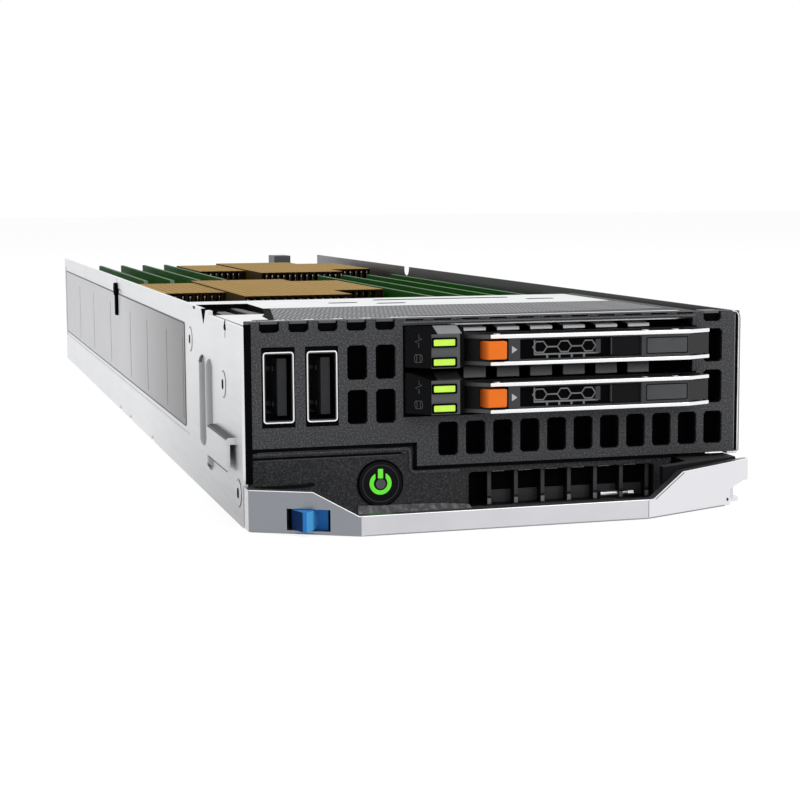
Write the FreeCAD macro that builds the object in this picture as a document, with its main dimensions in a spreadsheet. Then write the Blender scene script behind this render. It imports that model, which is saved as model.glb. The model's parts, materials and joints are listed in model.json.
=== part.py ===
import FreeCAD, Part
import math
import os
import re
import Sketcher

# Blade server: front faces -Y, height along +Z, tray underside on Z = 0. Millimetres

# Tray
tray_width = 105.0
tray_height = 40.0
tray_depth = 390.0
gauge = 1.0
front_step = 0.9
step_depth = 37.8
label_front = 66.8
label_margin = 2.4
label_low = 9.8
label_high = 36.9
label_sink = 0.35
bead_width = 3.6
bead_sink = 0.5
bead_front = 37.0
bead_rear = 46.4
bead_low_front = 6.7
bead_low_rear = 10.6
bead_high = 29.5
keyhole_place = 205.7
keyhole_low = 29.2
keyhole_high = 36.2
keyhole_slot = 1.2
keyhole_head = 2.1
notch_radius = 3.0
notch_left = 44.2
notch_half = 3.9
notch_deep = 3.2
notch_right = 252.0
slit_place = 17.1
slit_wide = 0.8
slit_low = 35.8
slit_high = 38.2
foot_first = 131.5
foot_second = 179.1
foot_third = 203.6
foot_notch = 2.6
foot_tall = 1.2
hook_front = 8.6
hook_rear = 31.5
hook_low = 9.9
hook_high = 16.7
hook_out = 1.8
hook_wall = 0.9
hook_lip = 1.4
hook_root = 4.0
hook_round = 0.9
hook_sunk = 0.95
rivet_radius = 2.5
rivet_out = 0.2
rivet_high_place = 62.9
rivet_high_up = 32.2
rivet_mid_place = 20.1
rivet_mid_up = 26.2
rivet_low_place = 4.5
rivet_low_up = 6.3
corner_radius = 2.0

# Front mouldings
bezel_side_gap = 0.3
bezel_over = 1.0
bezel_top = 40.0
bezel_thick = 4.0
bezel_lip = 0.8
seam_high = 15.4
seam_low = 10.65
seam_step = -17.5
seam_gap = 0.2
panel_recess = 0.6
panel_right = 37.5
usb_left = -45.25
usb_right = -36.6
usb_height = 27.25
usb_wide = 6.0
usb_tall = 13.7
usb_wall = 0.4
usb_play = 0.3
usb_end_play = 1.0
usb_reach = 18.0
usb_depth = 12.0
usb_out = 0.2
tongue_thick = 1.9
tongue_tall = 11.2
vent_chamfer = 0.55
quad_left = -31.5
quad_wide = 4.05
quad_pitch = 5.75
quad_low = 19.5
quad_tall = 6.8
quad_rise = 8.75
row_left = -13.0
row_wide = 4.15
row_pitch = 5.74
row_low = 12.5
row_tall = 6.8
side_left = 44.2
side_wide = 4.2
side_low = 21.0
side_tall = 6.9
side_rise = 8.55
crown_left = -48.9
crown_wide = 4.0
crown_pitch = 5.78
crown_low = 37.9
crown_right = 44.1
bay_left = -20.2
bay_right = 42.6
bay_low = 20.5
bay_high = 38.8
grille_left = -6.5
grille_right = 33.7
grille_low = 1.8
grille_high = 8.8
grille_post = 0.9
grille_first = -2.05
grille_set = 1.8

# Power button
button_across = -24.9
button_up = 7.5
button_radius = 4.4
button_front = 0.1
button_flange = 0.8
button_rim = 0.7
button_travel = 1.0
switch_half = 3.0
slide_gap = 0.1
clear_gap = 0.3
symbol_radius = 2.25
symbol_line = 0.85
symbol_bar_wide = 1.05
symbol_bar_low = 1.0
symbol_bar_high = 2.9
symbol_sink = 0.3

# Status lights
light_front = -4.5
light_bend = -0.4
light_left = -15.7
light_right = -9.8
light_side = -8.7
light_low = 21.3
light_tall = 8.1
light_pitch = 9.1
light_back = 3.0
light_stub = 5.8
light_crown = 1.3
light_crown_deep = 3.5
bar_left = -15.4
bar_wide = 4.6
bar_tall = 1.45
bar_low_first = 0.5
bar_low_second = 4.35
bar_out = 0.2
bar_sink = 0.8

# Drive bay
carrier_left = -8.4
carrier_right = 42.2
carrier_low = 21.2
carrier_pitch = 9.45
carrier_tall = 6.3
carrier_floor = 0.7
carrier_rail = 0.6
carrier_front = -1.0
carrier_rear = 84.0
carrier_wall = 1.6
drive_long = 78.5
drive_tall = 4.8
drive_play = 0.05
plug_left = 5.0
plug_right = 25.0
grip_front = -6.0
grip_thick = 1.6
grip_left = -4.2
grip_right = 38.2
grip_tip = 43.6
grip_tip_front = -3.7
grip_tip_thick = 1.0
grip_gap = 0.1
pivot_across = 40.4
pivot_deep = -2.9
pivot_radius = 0.8
pivot_play = 0.06
ear_radius = 1.8
ear_thick = 0.8
ear_clear = 1.0
lug_radius = 1.8
trim_tall = 0.8
trim_out = 0.5
release_left = -5.7
release_right = -0.9
release_slope = 1.0
release_tall = 3.6
release_front = -7.0
release_long = 3.6
recess_left = 2.1
recess_right = 27.9
recess_half = 2.0
recess_sink = 0.7
cell_radius = 1.5
cell_first = 6.7
cell_pitch = 2.7
cell_rise = 1.56
shelf_thick = 0.8
shelf_front = 8.0
shelf_rear = 88.0
shelf_gap = 0.2
tab_left = -7.4
tab_wide = 4.6
tab_pitch = 7.04
tab_front = 1.0
tab_bend = 5.0
tab_drop = 0.8
tab_thick = 0.5
board_thick = 1.6

# Ejector handle
bow_left = -52.4
bow_left_deep = -4.6
bend_left = -32.8
bend_left_deep = -15.4
bend_right = 26.1
bend_right_deep = -14.4
bow_right = 53.4
bow_right_deep = -2.6
bow_thick = 2.4
bow_end = 1.6
bow_return = -0.6
bow_low = 0.2
bow_high = 9.4
bow_left_high = 8.3
bow_right_high = 8.6
bow_strip = 4.0
bow_raise = 1.3
dip_left = -41.1
dip_left_low = -33.2
dip_right_low = 27.4
dip_right = 35.1
toe_left = 48.4
toe_step = 3.5
toe_right = 52.2
toe_low = 4.9
hinge_across = 45.5
hinge_deep = 4.5
hinge_radius = 1.95
hinge_play = 0.05
hinge_lug = 4.0
hinge_top = 7.0
hinge_head = 3.0
hinge_head_tall = 0.9
hinge_web = 8.4
hinge_swing = 8.8
core_left = 31.0
core_right = 41.2
core_deep = 3.0
shroud_left = 38.6
shroud_right = 51.4
shroud_rear = 4.8
shroud_low = 8.5
shroud_top = 9.7
slot_start = 7.65
slot_end = 16.3
slot_low = 0.8
slot_high = 5.0
slider_start = 5.4
slider_end = 16.4
slider_thick = 1.2
slider_lap = 0.5
thumb_start = 8.5
thumb_wide = 4.5
thumb_out = 2.5
thumb_ridge = 3.0
thumb_edge = 0.9
thumb_shoulder = 0.3

# Main board and what stands on it
board_half = 50.0
board_front = 92.0
board_margin = 18.0
post_tall = 3.0
post_radius = 2.6
post_across = 47.2
post_margin = 4.0
socket_wide = 54.0
socket_long = 70.0
socket_tall = 3.4
chip_wide = 45.0
chip_long = 52.5
chip_tall = 3.4
sink_out = 47.0
sink_in = 14.6
sink_core_out = 30.0
sink_core_in = 1.6
sink_wing_share = 0.62
sink_wing_set = 0.126
sink_base = 3.6
sink_top = 38.6
sink_wing_top = 38.2
fin_pitch = 2.0
fin_thick = 0.5
fin_fold = 0.45
stud_radius = 3.0
stud_across = 18.0
stud_inset = 6.5
sink_core_less = 42.35
sink_rear_set = 34.85
bank_inner = 17.0
bank_pitch = 8.3
bank_front = 102.0
bank_clear = 6.65
bank_gap = 14.0
module_long = 133.35
module_thick = 1.2
module_top = 38.2
module_play = 0.15
memory_first = 5.0
memory_wide = 10.6
memory_tall = 12.0
memory_thick = 1.1
memory_last = 4.15
memory_low = 17.5
slot_half = 3.2
slot_tall = 6.4
slot_seat = 2.4
slot_end_long = 6.5
latch_half = 1.9
latch_play = 0.2
latch_back = 4.0
latch_up = 3.0
latch_foot = 1.7
latch_out = 1.4
latch_in = 1.6
latch_top = 26.0
latch_head = 2.2
latch_head_tall = 2.4
latch_nose = 3.2
latch_nose_half = 0.9
choke_wide = 8.0
choke_long_share = 0.164
choke_pitch_share = 0.246
choke_lead_share = 0.092
choke_tall = 7.0
cap_radius = 3.1
cap_tall = 9.0
cap_pitch = 12.0
cap_margin = 12.0
chipset_left = -24.0
chipset_right = -4.0
chipset_front = 1.5
chipset_long = 14.5
chipset_tall = 4.5
cell_across = -36.5
cell_place = 9.9
cell_half = 8.0
cell_tall = 3.2
plug_tall = 18.4
plug_long = 22.5
plug_side_in = 16.0
plug_side_out = 46.0
plug_mid = 12.0
guide_left = 30.7
guide_right = 37.4
guide_margin = 13.0
guide_inset = 1.0
guide_top = 40.2

# Top cover
cover_top = 39.2
cover_thick = 1.0
cover_gap = 0.2
cover_rear = 86.0
cover_right = 48.6
cover_flange = 6.0
mesh_front = 17.5
mesh_rear = 54.0
mesh_left = -42.4
mesh_slant = 6.6
mesh_right = 46.0
mesh_sink = 0.3
cutaway_front = 36.0
cutaway_rear = 74.0
cutaway_rim = 1.6
patch_left = -47.0
patch_right = -43.2
patch_front = 16.5
patch_rear = 18.3
cover_slot_left = -6.0
cover_slot_right = 28.0
cover_slot_front = 76.0
cover_slot_wide = 2.6
hole_left = -19.0
hole_wide = 7.0
hole_front = 68.0
hole_long = 2.4
hole_right = 30.0

# Places that follow from the sizes above
bezel_half = tray_width / 2 - gauge - bezel_side_gap
bezel_right = bezel_half + bezel_over
label_rear = tray_depth - label_margin
board_rear = tray_depth - board_margin
bank_margin = module_long + slot_end_long + plug_long + bank_clear
bank_rear = tray_depth - bank_margin
sink_core_long = module_long - sink_core_less
stud_along = sink_core_long / 2 - stud_inset
sink_wing_long = sink_wing_share * sink_core_long
sink_wing_shift = sink_wing_set * sink_core_long
memory_pitch = (module_long - memory_first - memory_last - memory_wide) / 8
sink_front_mid = bank_front + bank_gap + sink_core_long / 2
sink_rear_mid = bank_rear + sink_rear_set + sink_core_long / 2
plug_front = tray_depth - plug_long
guide_front = tray_depth - guide_margin
choke_room = bank_rear + sink_rear_set - bank_front - bank_gap - sink_core_long
choke_long = choke_long_share * choke_room
choke_pitch = choke_pitch_share * choke_room
choke_front = bank_front + bank_gap + sink_core_long + choke_lead_share * choke_room
cap_place = board_rear - cap_margin
left_run = (bend_left - bow_left, bend_left_deep - bow_left_deep)
left_unit = (left_run[0] / math.hypot(*left_run), left_run[1] / math.hypot(*left_run))
left_turn = math.degrees(math.atan2(left_run[1], left_run[0]))
left_slope = left_run[1] / left_run[0]
right_slope = (bow_right_deep - bend_right_deep) / (bow_right - bend_right)
slider_in = bow_thick * left_unit[0] + slide_gap

sizes = {alias: value for alias, value in globals().items() if isinstance(value, float)}
nodes = {}
doc = FreeCAD.newDocument("blade_server")
sheet = doc.addObject("Spreadsheet::Sheet", "dims")
for row, (alias, value) in enumerate(sizes.items(), 1):
    sheet.set("A%d" % row, alias)
    sheet.set("B%d" % row, repr(value))
    sheet.setAlias("B%d" % row, alias)


def ref(text):
    return re.sub(r"[a-z][a-z_]*", lambda m: "dims." + m.group(0), str(text))


def number(text):
    plain = re.sub(r"[a-z][a-z_]*", lambda m: "(%r)" % sizes[m.group(0)], str(text))
    return FreeCAD.Units.Quantity(plain).Value


def box(name, x, y, z):
    solid = doc.addObject("Part::Box", name)
    for prop, axis, (low, high) in (("Length", "x", x), ("Width", "y", y), ("Height", "z", z)):
        solid.setExpression(prop, "(%s) - (%s)" % (ref(high), ref(low)))
        solid.setExpression("Placement.Base." + axis, ref(low))
    return solid


def turned(axis):
    turns = {
        "x": FreeCAD.Rotation(FreeCAD.Vector(0, 1, 0), 90),
        "y": FreeCAD.Rotation(FreeCAD.Vector(1, 0, 0), -90),
        "z": FreeCAD.Rotation(),
    }
    return FreeCAD.Placement(FreeCAD.Vector(), turns[axis])


def placed(solid, axis, centre, start):
    place = dict(zip([a for a in "xyz" if a != axis], centre))
    place[axis] = start
    for key, text in place.items():
        solid.setExpression("Placement.Base." + key, ref(text))


def rod(name, axis, centre, span, radius):
    solid = doc.addObject("Part::Cylinder", name)
    solid.Placement = turned(axis)
    solid.setExpression("Radius", ref(radius))
    solid.setExpression("Height", "(%s) - (%s)" % (ref(span[1]), ref(span[0])))
    placed(solid, axis, centre, span[0])
    return solid


def hexagon(name, axis, centre, span, radius):
    solid = doc.addObject("Part::Prism", name)
    solid.Polygon = 6
    solid.Placement = turned(axis)
    solid.setExpression("Circumradius", ref(radius))
    solid.setExpression("Height", "(%s) - (%s)" % (ref(span[1]), ref(span[0])))
    placed(solid, axis, centre, span[0])
    return solid


EDGES = {"x": (9, 10, 11, 12), "y": (2, 4, 6, 8), "z": (1, 3, 5, 7)}


def eased(kind, name, x, y, z, axis, amount):
    soft = doc.addObject(kind, name)
    soft.Base = box(name + "_blank", x, y, z)
    soft.Edges = [(edge, amount, amount) for edge in EDGES[axis]]
    return soft


def soft_box(name, x, y, z, axis, radius):
    return eased("Part::Fillet", name, x, y, z, axis, radius)


def vent(name, x, y, z):
    return eased("Part::Chamfer", name, x, y, z, "y", vent_chamfer)


def profile(name, plane, outline, low, high):
    body = doc.addObject("PartDesign::Body", name)
    sketch = body.newObject("Sketcher::SketchObject", name + "_outline")
    origin = [f for f in body.Origin.OriginFeatures if f.Role == plane][0]
    sketch.AttachmentSupport = (origin, [""])
    sketch.MapMode = "FlatFace"
    start = "-(%s)" % high if plane == "XZ_Plane" else low
    sketch.setExpression("AttachmentOffset.Base.z", ref(start))
    points = [FreeCAD.Vector(number(u), number(v), 0) for u, v in outline]
    count = len(points)
    for i in range(count):
        sketch.addGeometry(Part.LineSegment(points[i], points[(i + 1) % count]), False)
    for i in range(count):
        sketch.addConstraint(Sketcher.Constraint("Coincident", i, 2, (i + 1) % count, 1))
    for i, (u, v) in enumerate(outline):
        for kind, text, value in (("DistanceX", u, points[i].x), ("DistanceY", v, points[i].y)):
            row = sketch.addConstraint(Sketcher.Constraint(kind, -1, 1, i, 1, value))
            sketch.setExpression("Constraints[%d]" % row, ref(text))
    pad = body.newObject("PartDesign::Pad", name + "_pad")
    pad.Profile = sketch
    pad.setExpression("Length", "(%s) - (%s)" % (ref(high), ref(low)))
    body.Tip = pad
    return body


def group(name, pieces):
    result = doc.addObject("Part::Compound", name)
    result.Links = pieces
    return result


def cut(name, base, tools):
    result = doc.addObject("Part::Cut", name)
    result.Base = base
    result.Tool = tools[0] if len(tools) == 1 else group(name + "_tools", tools)
    return result


def common(name, base, tool):
    result = doc.addObject("Part::Common", name)
    result.Base = base
    result.Tool = tool
    return result


def fuse(name, pieces):
    result = doc.addObject("Part::MultiFuse", name)
    result.Shapes = pieces
    result.Refine = True
    return result


def node(name, item):
    item.Label = name
    nodes[name] = item


half = "tray_width/2"
outer = "-tray_width/2"
inner = "-tray_width/2 + gauge"
over = "tray_height + 1"

# Chassis tray: floor and two walls
channel = cut("tray_channel", box("tray_blank", (outer, half), ("0", "tray_depth"), ("0", "tray_height")), [
    box("tray_space", (inner, half + " - gauge"), ("-1", "tray_depth + 1"), ("gauge", over))])
skin = (outer + " - 1", outer + " + label_sink")
label = box("tray_label", skin, ("label_front", "label_rear"), ("label_low", "label_high"))
bead_skin = (outer + " - 1", outer + " + bead_sink")
beads = []
for side in ("front", "rear"):
    beads.append(soft_box(
        "tray_bead_" + side, bead_skin,
        ("bead_%s - bead_width/2" % side, "bead_%s + bead_width/2" % side),
        ("bead_low_%s" % side, "bead_high"), "x", 0.45 * bead_width))
wall_left = (outer + " - 1", inner + " + 1")
wall_right = (half + " - gauge - 1", half + " + 1")
keyhole = fuse("tray_keyhole", [
    box("keyhole_stem", wall_left, ("keyhole_place - keyhole_slot", "keyhole_place + keyhole_slot"),
        ("keyhole_low", "keyhole_high")),
    rod("keyhole_eye", "x", ("keyhole_place", "keyhole_high"), wall_left, "keyhole_head"),
])
corner = cut("tray_corner", box(
    "corner_blank", wall_right, ("-1", "bezel_lip + corner_radius"), ("tray_height - corner_radius", over)), [
    rod("corner_round", "x", ("bezel_lip + corner_radius", "tray_height - corner_radius"),
        (half + " - gauge - 2", half + " + 2"), "corner_radius")])
notches = [
    corner,
    profile("notch_cut_left", "YZ_Plane", (
        ("notch_left - notch_half", over), ("notch_left", "tray_height - notch_deep"),
        ("notch_left + notch_half", over)), *wall_left),
    rod("notch_cut_right", "x", ("notch_right", "tray_height"), wall_right, "notch_radius"),
    box("step_cut_left", wall_left, ("-1", "step_depth"), ("tray_height - front_step", over)),
    box("lip_cut", wall_right, ("-1", "bezel_lip"), ("gauge", over)),
    box("slit_cut", wall_left, ("slit_place", "slit_place + slit_wide"), ("slit_low", "slit_high")),
    box("toe_cut", wall_right, ("-1", "hinge_deep + hinge_swing + 0.7"), ("gauge", "bow_high + 0.6")),
]
for place in ("foot_first", "foot_second", "foot_third"):
    notches.append(box(
        place + "_cut", (outer + " - 1", outer + " + 0.6"),
        (place + " - foot_notch", place + " + foot_notch"), ("-1", "foot_tall")))
pressed = cut("tray_cut", channel, [label, keyhole] + beads + notches)
hook = soft_box(
    "hook_pad", (outer + " - hook_out", outer + " + hook_sunk"), ("hook_front", "hook_rear"),
    ("hook_low", "hook_high"), "y", hook_round)
hook_space = box(
    "hook_space", (outer + " - hook_out + hook_wall", outer + " + 1"),
    ("hook_front - 1", "hook_rear - hook_root"), ("hook_low - 1", "hook_high - hook_lip"))
node("chassis_tray", fuse("tray_form", [pressed, cut("hook_cut", hook, [hook_space])]))

rivets = []
for which in ("high", "mid", "low"):
    spot = ("rivet_%s_place" % which, "rivet_%s_up" % which)
    rivets.append(rod("rivet_left_" + which, "x", spot, (outer + " - rivet_out", outer), "rivet_radius"))
    if which != "low":
        rivets.append(rod("rivet_right_" + which, "x", spot, (half, half + " + rivet_out"), "rivet_radius"))
node("chassis_rivets", group("rivet_group", rivets))

# Front bezel with its openings
face = profile("bezel_face", "XZ_Plane", (
    ("-bezel_half", "seam_high"), ("seam_step", "seam_high"), ("seam_step", "seam_low"),
    ("bezel_half", "seam_low"), ("bezel_half", "bezel_top"), ("-bezel_half", "bezel_top")),
    "0", "bezel_thick")
lip = box("bezel_edge", ("bezel_half - 1", "bezel_right"), ("0", "bezel_lip"), ("seam_low", "bezel_top"))
deep = ("-1", "bezel_thick + 1")
openings = [box("bay_cut", ("bay_left", "bay_right"), deep, ("bay_low", "bay_high"))]
for side in ("usb_left", "usb_right"):
    openings.append(box(
        side + "_cut", (side + " - usb_wide/2 - usb_play", side + " + usb_wide/2 + usb_play"), deep,
        ("usb_height - usb_tall/2 - usb_end_play", "usb_height + usb_tall/2 + usb_end_play")))
for column in range(2):
    for row in range(2):
        openings.append(vent(
            "quad_cut_%d_%d" % (column, row),
            ("quad_left + %d*quad_pitch" % column, "quad_left + %d*quad_pitch + quad_wide" % column), deep,
            ("quad_low + %d*quad_rise" % row, "quad_low + %d*quad_rise + quad_tall" % row)))
for i in range(11):
    openings.append(vent(
        "row_cut_%d" % i, ("row_left + %d*row_pitch" % i, "row_left + %d*row_pitch + row_wide" % i), deep,
        ("row_low", "row_low + row_tall")))
for i in range(2):
    openings.append(vent(
        "side_cut_%d" % i, ("side_left", "side_left + side_wide"), deep,
        ("side_low + %d*side_rise" % i, "side_low + %d*side_rise + side_tall" % i)))
crowns = ["crown_left + %d*crown_pitch" % i for i in range(5)] + ["crown_right"]
for i, start in enumerate(crowns):
    openings.append(vent(
        "crown_cut_%d" % i, (start, start + " + crown_wide"), deep, ("crown_low", "bezel_top + 2")))
node("front_bezel", cut("bezel_cut", fuse("bezel_blank", [face, lip]), openings))

# Lower panel with button hole and set-back grille posts
panel_rear = "panel_recess + bezel_thick"
panel = profile("panel_face", "XZ_Plane", (
    ("-bezel_half", "gauge"), ("panel_right", "gauge"), ("panel_right", "seam_low - seam_gap"),
    ("seam_step - seam_gap", "seam_low - seam_gap"), ("seam_step - seam_gap", "seam_high - seam_gap"),
    ("-bezel_half", "seam_high - seam_gap")), "panel_recess", panel_rear)
panel_deep = ("-1", panel_rear + " + 1")
opened = cut("panel_cut", panel, [
    rod("button_cut", "y", ("button_across", "button_up"), panel_deep, "button_radius + slide_gap"),
    vent("grille_cut", ("grille_left", "grille_right"), panel_deep, ("grille_low", "grille_high")),
])
posts = []
for i in range(7):
    at = "grille_first + %d*row_pitch" % i
    posts.append(box(
        "grille_post_%d" % i, (at, at + " + grille_post"), ("panel_recess + grille_set", panel_rear),
        ("grille_low - 0.2", "grille_high + 0.2")))
node("lower_panel", fuse("panel_form", [opened] + posts))

# Ports
tongues = []
for side in ("usb_left", "usb_right"):
    shell = box(
        side + "_shell", (side + " - usb_wide/2", side + " + usb_wide/2"), ("-usb_out", "usb_reach"),
        ("usb_height - usb_tall/2", "usb_height + usb_tall/2"))
    hollow = box(
        side + "_hollow", (side + " - usb_wide/2 + usb_wall", side + " + usb_wide/2 - usb_wall"),
        ("-1", "usb_depth"), ("usb_height - usb_tall/2 + usb_wall", "usb_height + usb_tall/2 - usb_wall"))
    node("usb_port_" + side[4:], cut(side + "_port", shell, [hollow]))
    tongues.append(box(
        side + "_tongue", (side + " - slide_gap", side + " - slide_gap + tongue_thick"), ("0.8", "usb_depth"),
        ("usb_height - tongue_tall/2", "usb_height + tongue_tall/2")))
node("usb_tongues", group("tongue_group", tongues))

io_board = box(
    "io_board", ("-bezel_half + 1.7", "bay_left - clear_gap"), ("usb_reach", "usb_reach + board_thick"),
    ("gauge", "usb_height + usb_tall/2 + 2"))
flange_front = "panel_recess + bezel_thick + clear_gap"
flange_rear = flange_front + " + button_flange"
switch = box(
    "switch_block", ("button_across - switch_half", "button_across + switch_half"),
    (flange_rear + " + button_travel + clear_gap", "usb_reach"),
    ("button_up - switch_half", "button_up + switch_half"))
node("front_io_board", group("io_group", [io_board, switch]))

# Power button and its symbol
middle = ("button_across", "button_up")
symbol_deep = ("button_front", "button_front + symbol_sink")
symbol_through = ("button_front - 1", "button_front + 1")
symbol_ring = cut("symbol_ring", rod("symbol_disc", "y", middle, symbol_deep, "symbol_radius"), [
    fuse("symbol_open", [
        rod("symbol_core", "y", middle, symbol_through, "symbol_radius - symbol_line"),
        box("symbol_gap", ("button_across - symbol_bar_wide", "button_across + symbol_bar_wide"),
            symbol_through, ("button_up", "button_up + symbol_radius + 1")),
    ])])
symbol_bar = box(
    "symbol_bar", ("button_across - symbol_bar_wide/2", "button_across + symbol_bar_wide/2"), symbol_deep,
    ("button_up + symbol_bar_low", "button_up + symbol_bar_high"))
symbol = group("symbol_group", [symbol_ring, symbol_bar])
node("power_symbol", symbol)
button = fuse("button_form", [
    rod("button_head", "y", middle, ("button_front", flange_front), "button_radius"),
    rod("button_collar", "y", middle, (flange_front, flange_rear), "button_radius + button_rim"),
])
node("power_button", cut("button_cut_out", button, [symbol]))

# Status lights
housings = []
bars = []
for i in range(2):
    low = "light_low + %d*light_pitch" % i
    block = profile("light_block_%d" % i, "XY_Plane", (
        ("bay_left + clear_gap", "light_back"), ("bay_left + clear_gap", "light_bend"),
        ("light_left", "light_front"), ("light_right", "light_front"), ("light_side", "light_front + 1.0"),
        ("light_side", "light_back")), low, low + " + light_tall")
    stub = box(
        "light_stub_%d" % i, ("bay_left + clear_gap", "light_side"), ("light_back - 0.5", "shelf_front"),
        (low + " + clear_gap", low + " + light_stub"))
    high = low + " + light_tall"
    crown = profile("light_crown_%d" % i, "YZ_Plane", (
        ("light_front - 1", high + " + 1"), ("light_front - 1", high + " - light_crown"),
        ("light_front", high + " - light_crown"), ("light_front + light_crown_deep", high),
        ("light_front + light_crown_deep", high + " + 1")), "bay_left - 1", "light_side + 1")
    pair = []
    for which in ("first", "second"):
        base = low + " + bar_low_" + which
        pair.append(box(
            "light_bar_%s_%d" % (which, i), ("bar_left", "bar_left + bar_wide"),
            ("light_front - bar_out", "light_front + bar_sink"), (base, base + " + bar_tall")))
    housings.append(cut("light_housing_%d" % i, fuse("light_form_%d" % i, [block, stub]), pair + [crown]))
    bars.extend(pair)
node("status_housing", group("housing_group", housings))
node("status_lights", group("light_group", bars))

# Drive cage: three shelves with bent front tabs
cover_low = "cover_top - cover_thick"
cage_left = "carrier_left - shelf_gap"
cage_right = "carrier_right + shelf_gap"
cage_top = "cover_top - cover_thick - slide_gap"
shelf_tops = (
    "carrier_low - shelf_gap", "carrier_low - shelf_gap + carrier_pitch", cage_top)
cage_deep = ("shelf_front", "shelf_rear")
cage = [
    box("cage_wall_left", (cage_left + " - shelf_thick", cage_left), cage_deep, ("gauge", cage_top)),
    box("cage_wall_right", (cage_right, cage_right + " + shelf_thick"), cage_deep, ("gauge", cage_top)),
    box("cage_face", ("bay_left + clear_gap", cage_left), ("shelf_front", "shelf_front + shelf_thick"),
        ("gauge", cage_top)),
]
for i, top in enumerate(shelf_tops):
    cage.append(box(
        "cage_shelf_%d" % i, (cage_left + " - 0.1", cage_right + " + 0.1"), cage_deep,
        (top + " - shelf_thick", top)))
    if i == 0:
        continue
    strip = profile("cage_strip_%d" % i, "YZ_Plane", (
        ("shelf_front + 0.3", top), ("tab_bend", top), ("tab_front", top + " - tab_drop + tab_thick"),
        ("tab_front", top + " - tab_drop"), ("tab_bend", top + " - tab_thick"),
        ("shelf_front + 0.3", top + " - tab_thick")), "tab_left", "tab_left + 5*tab_pitch + tab_wide")
    spaces = []
    for k in range(5):
        spaces.append(box(
            "cage_space_%d_%d" % (i, k),
            ("tab_left + tab_wide + %d*tab_pitch" % k, "tab_left + %d*tab_pitch" % (k + 1)),
            ("tab_front - 1", "shelf_front"), (top + " - 3", top + " + 1")))
    cage.append(cut("cage_tabs_%d" % i, strip, spaces))
node("drive_cage", fuse("cage_form", cage))

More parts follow.
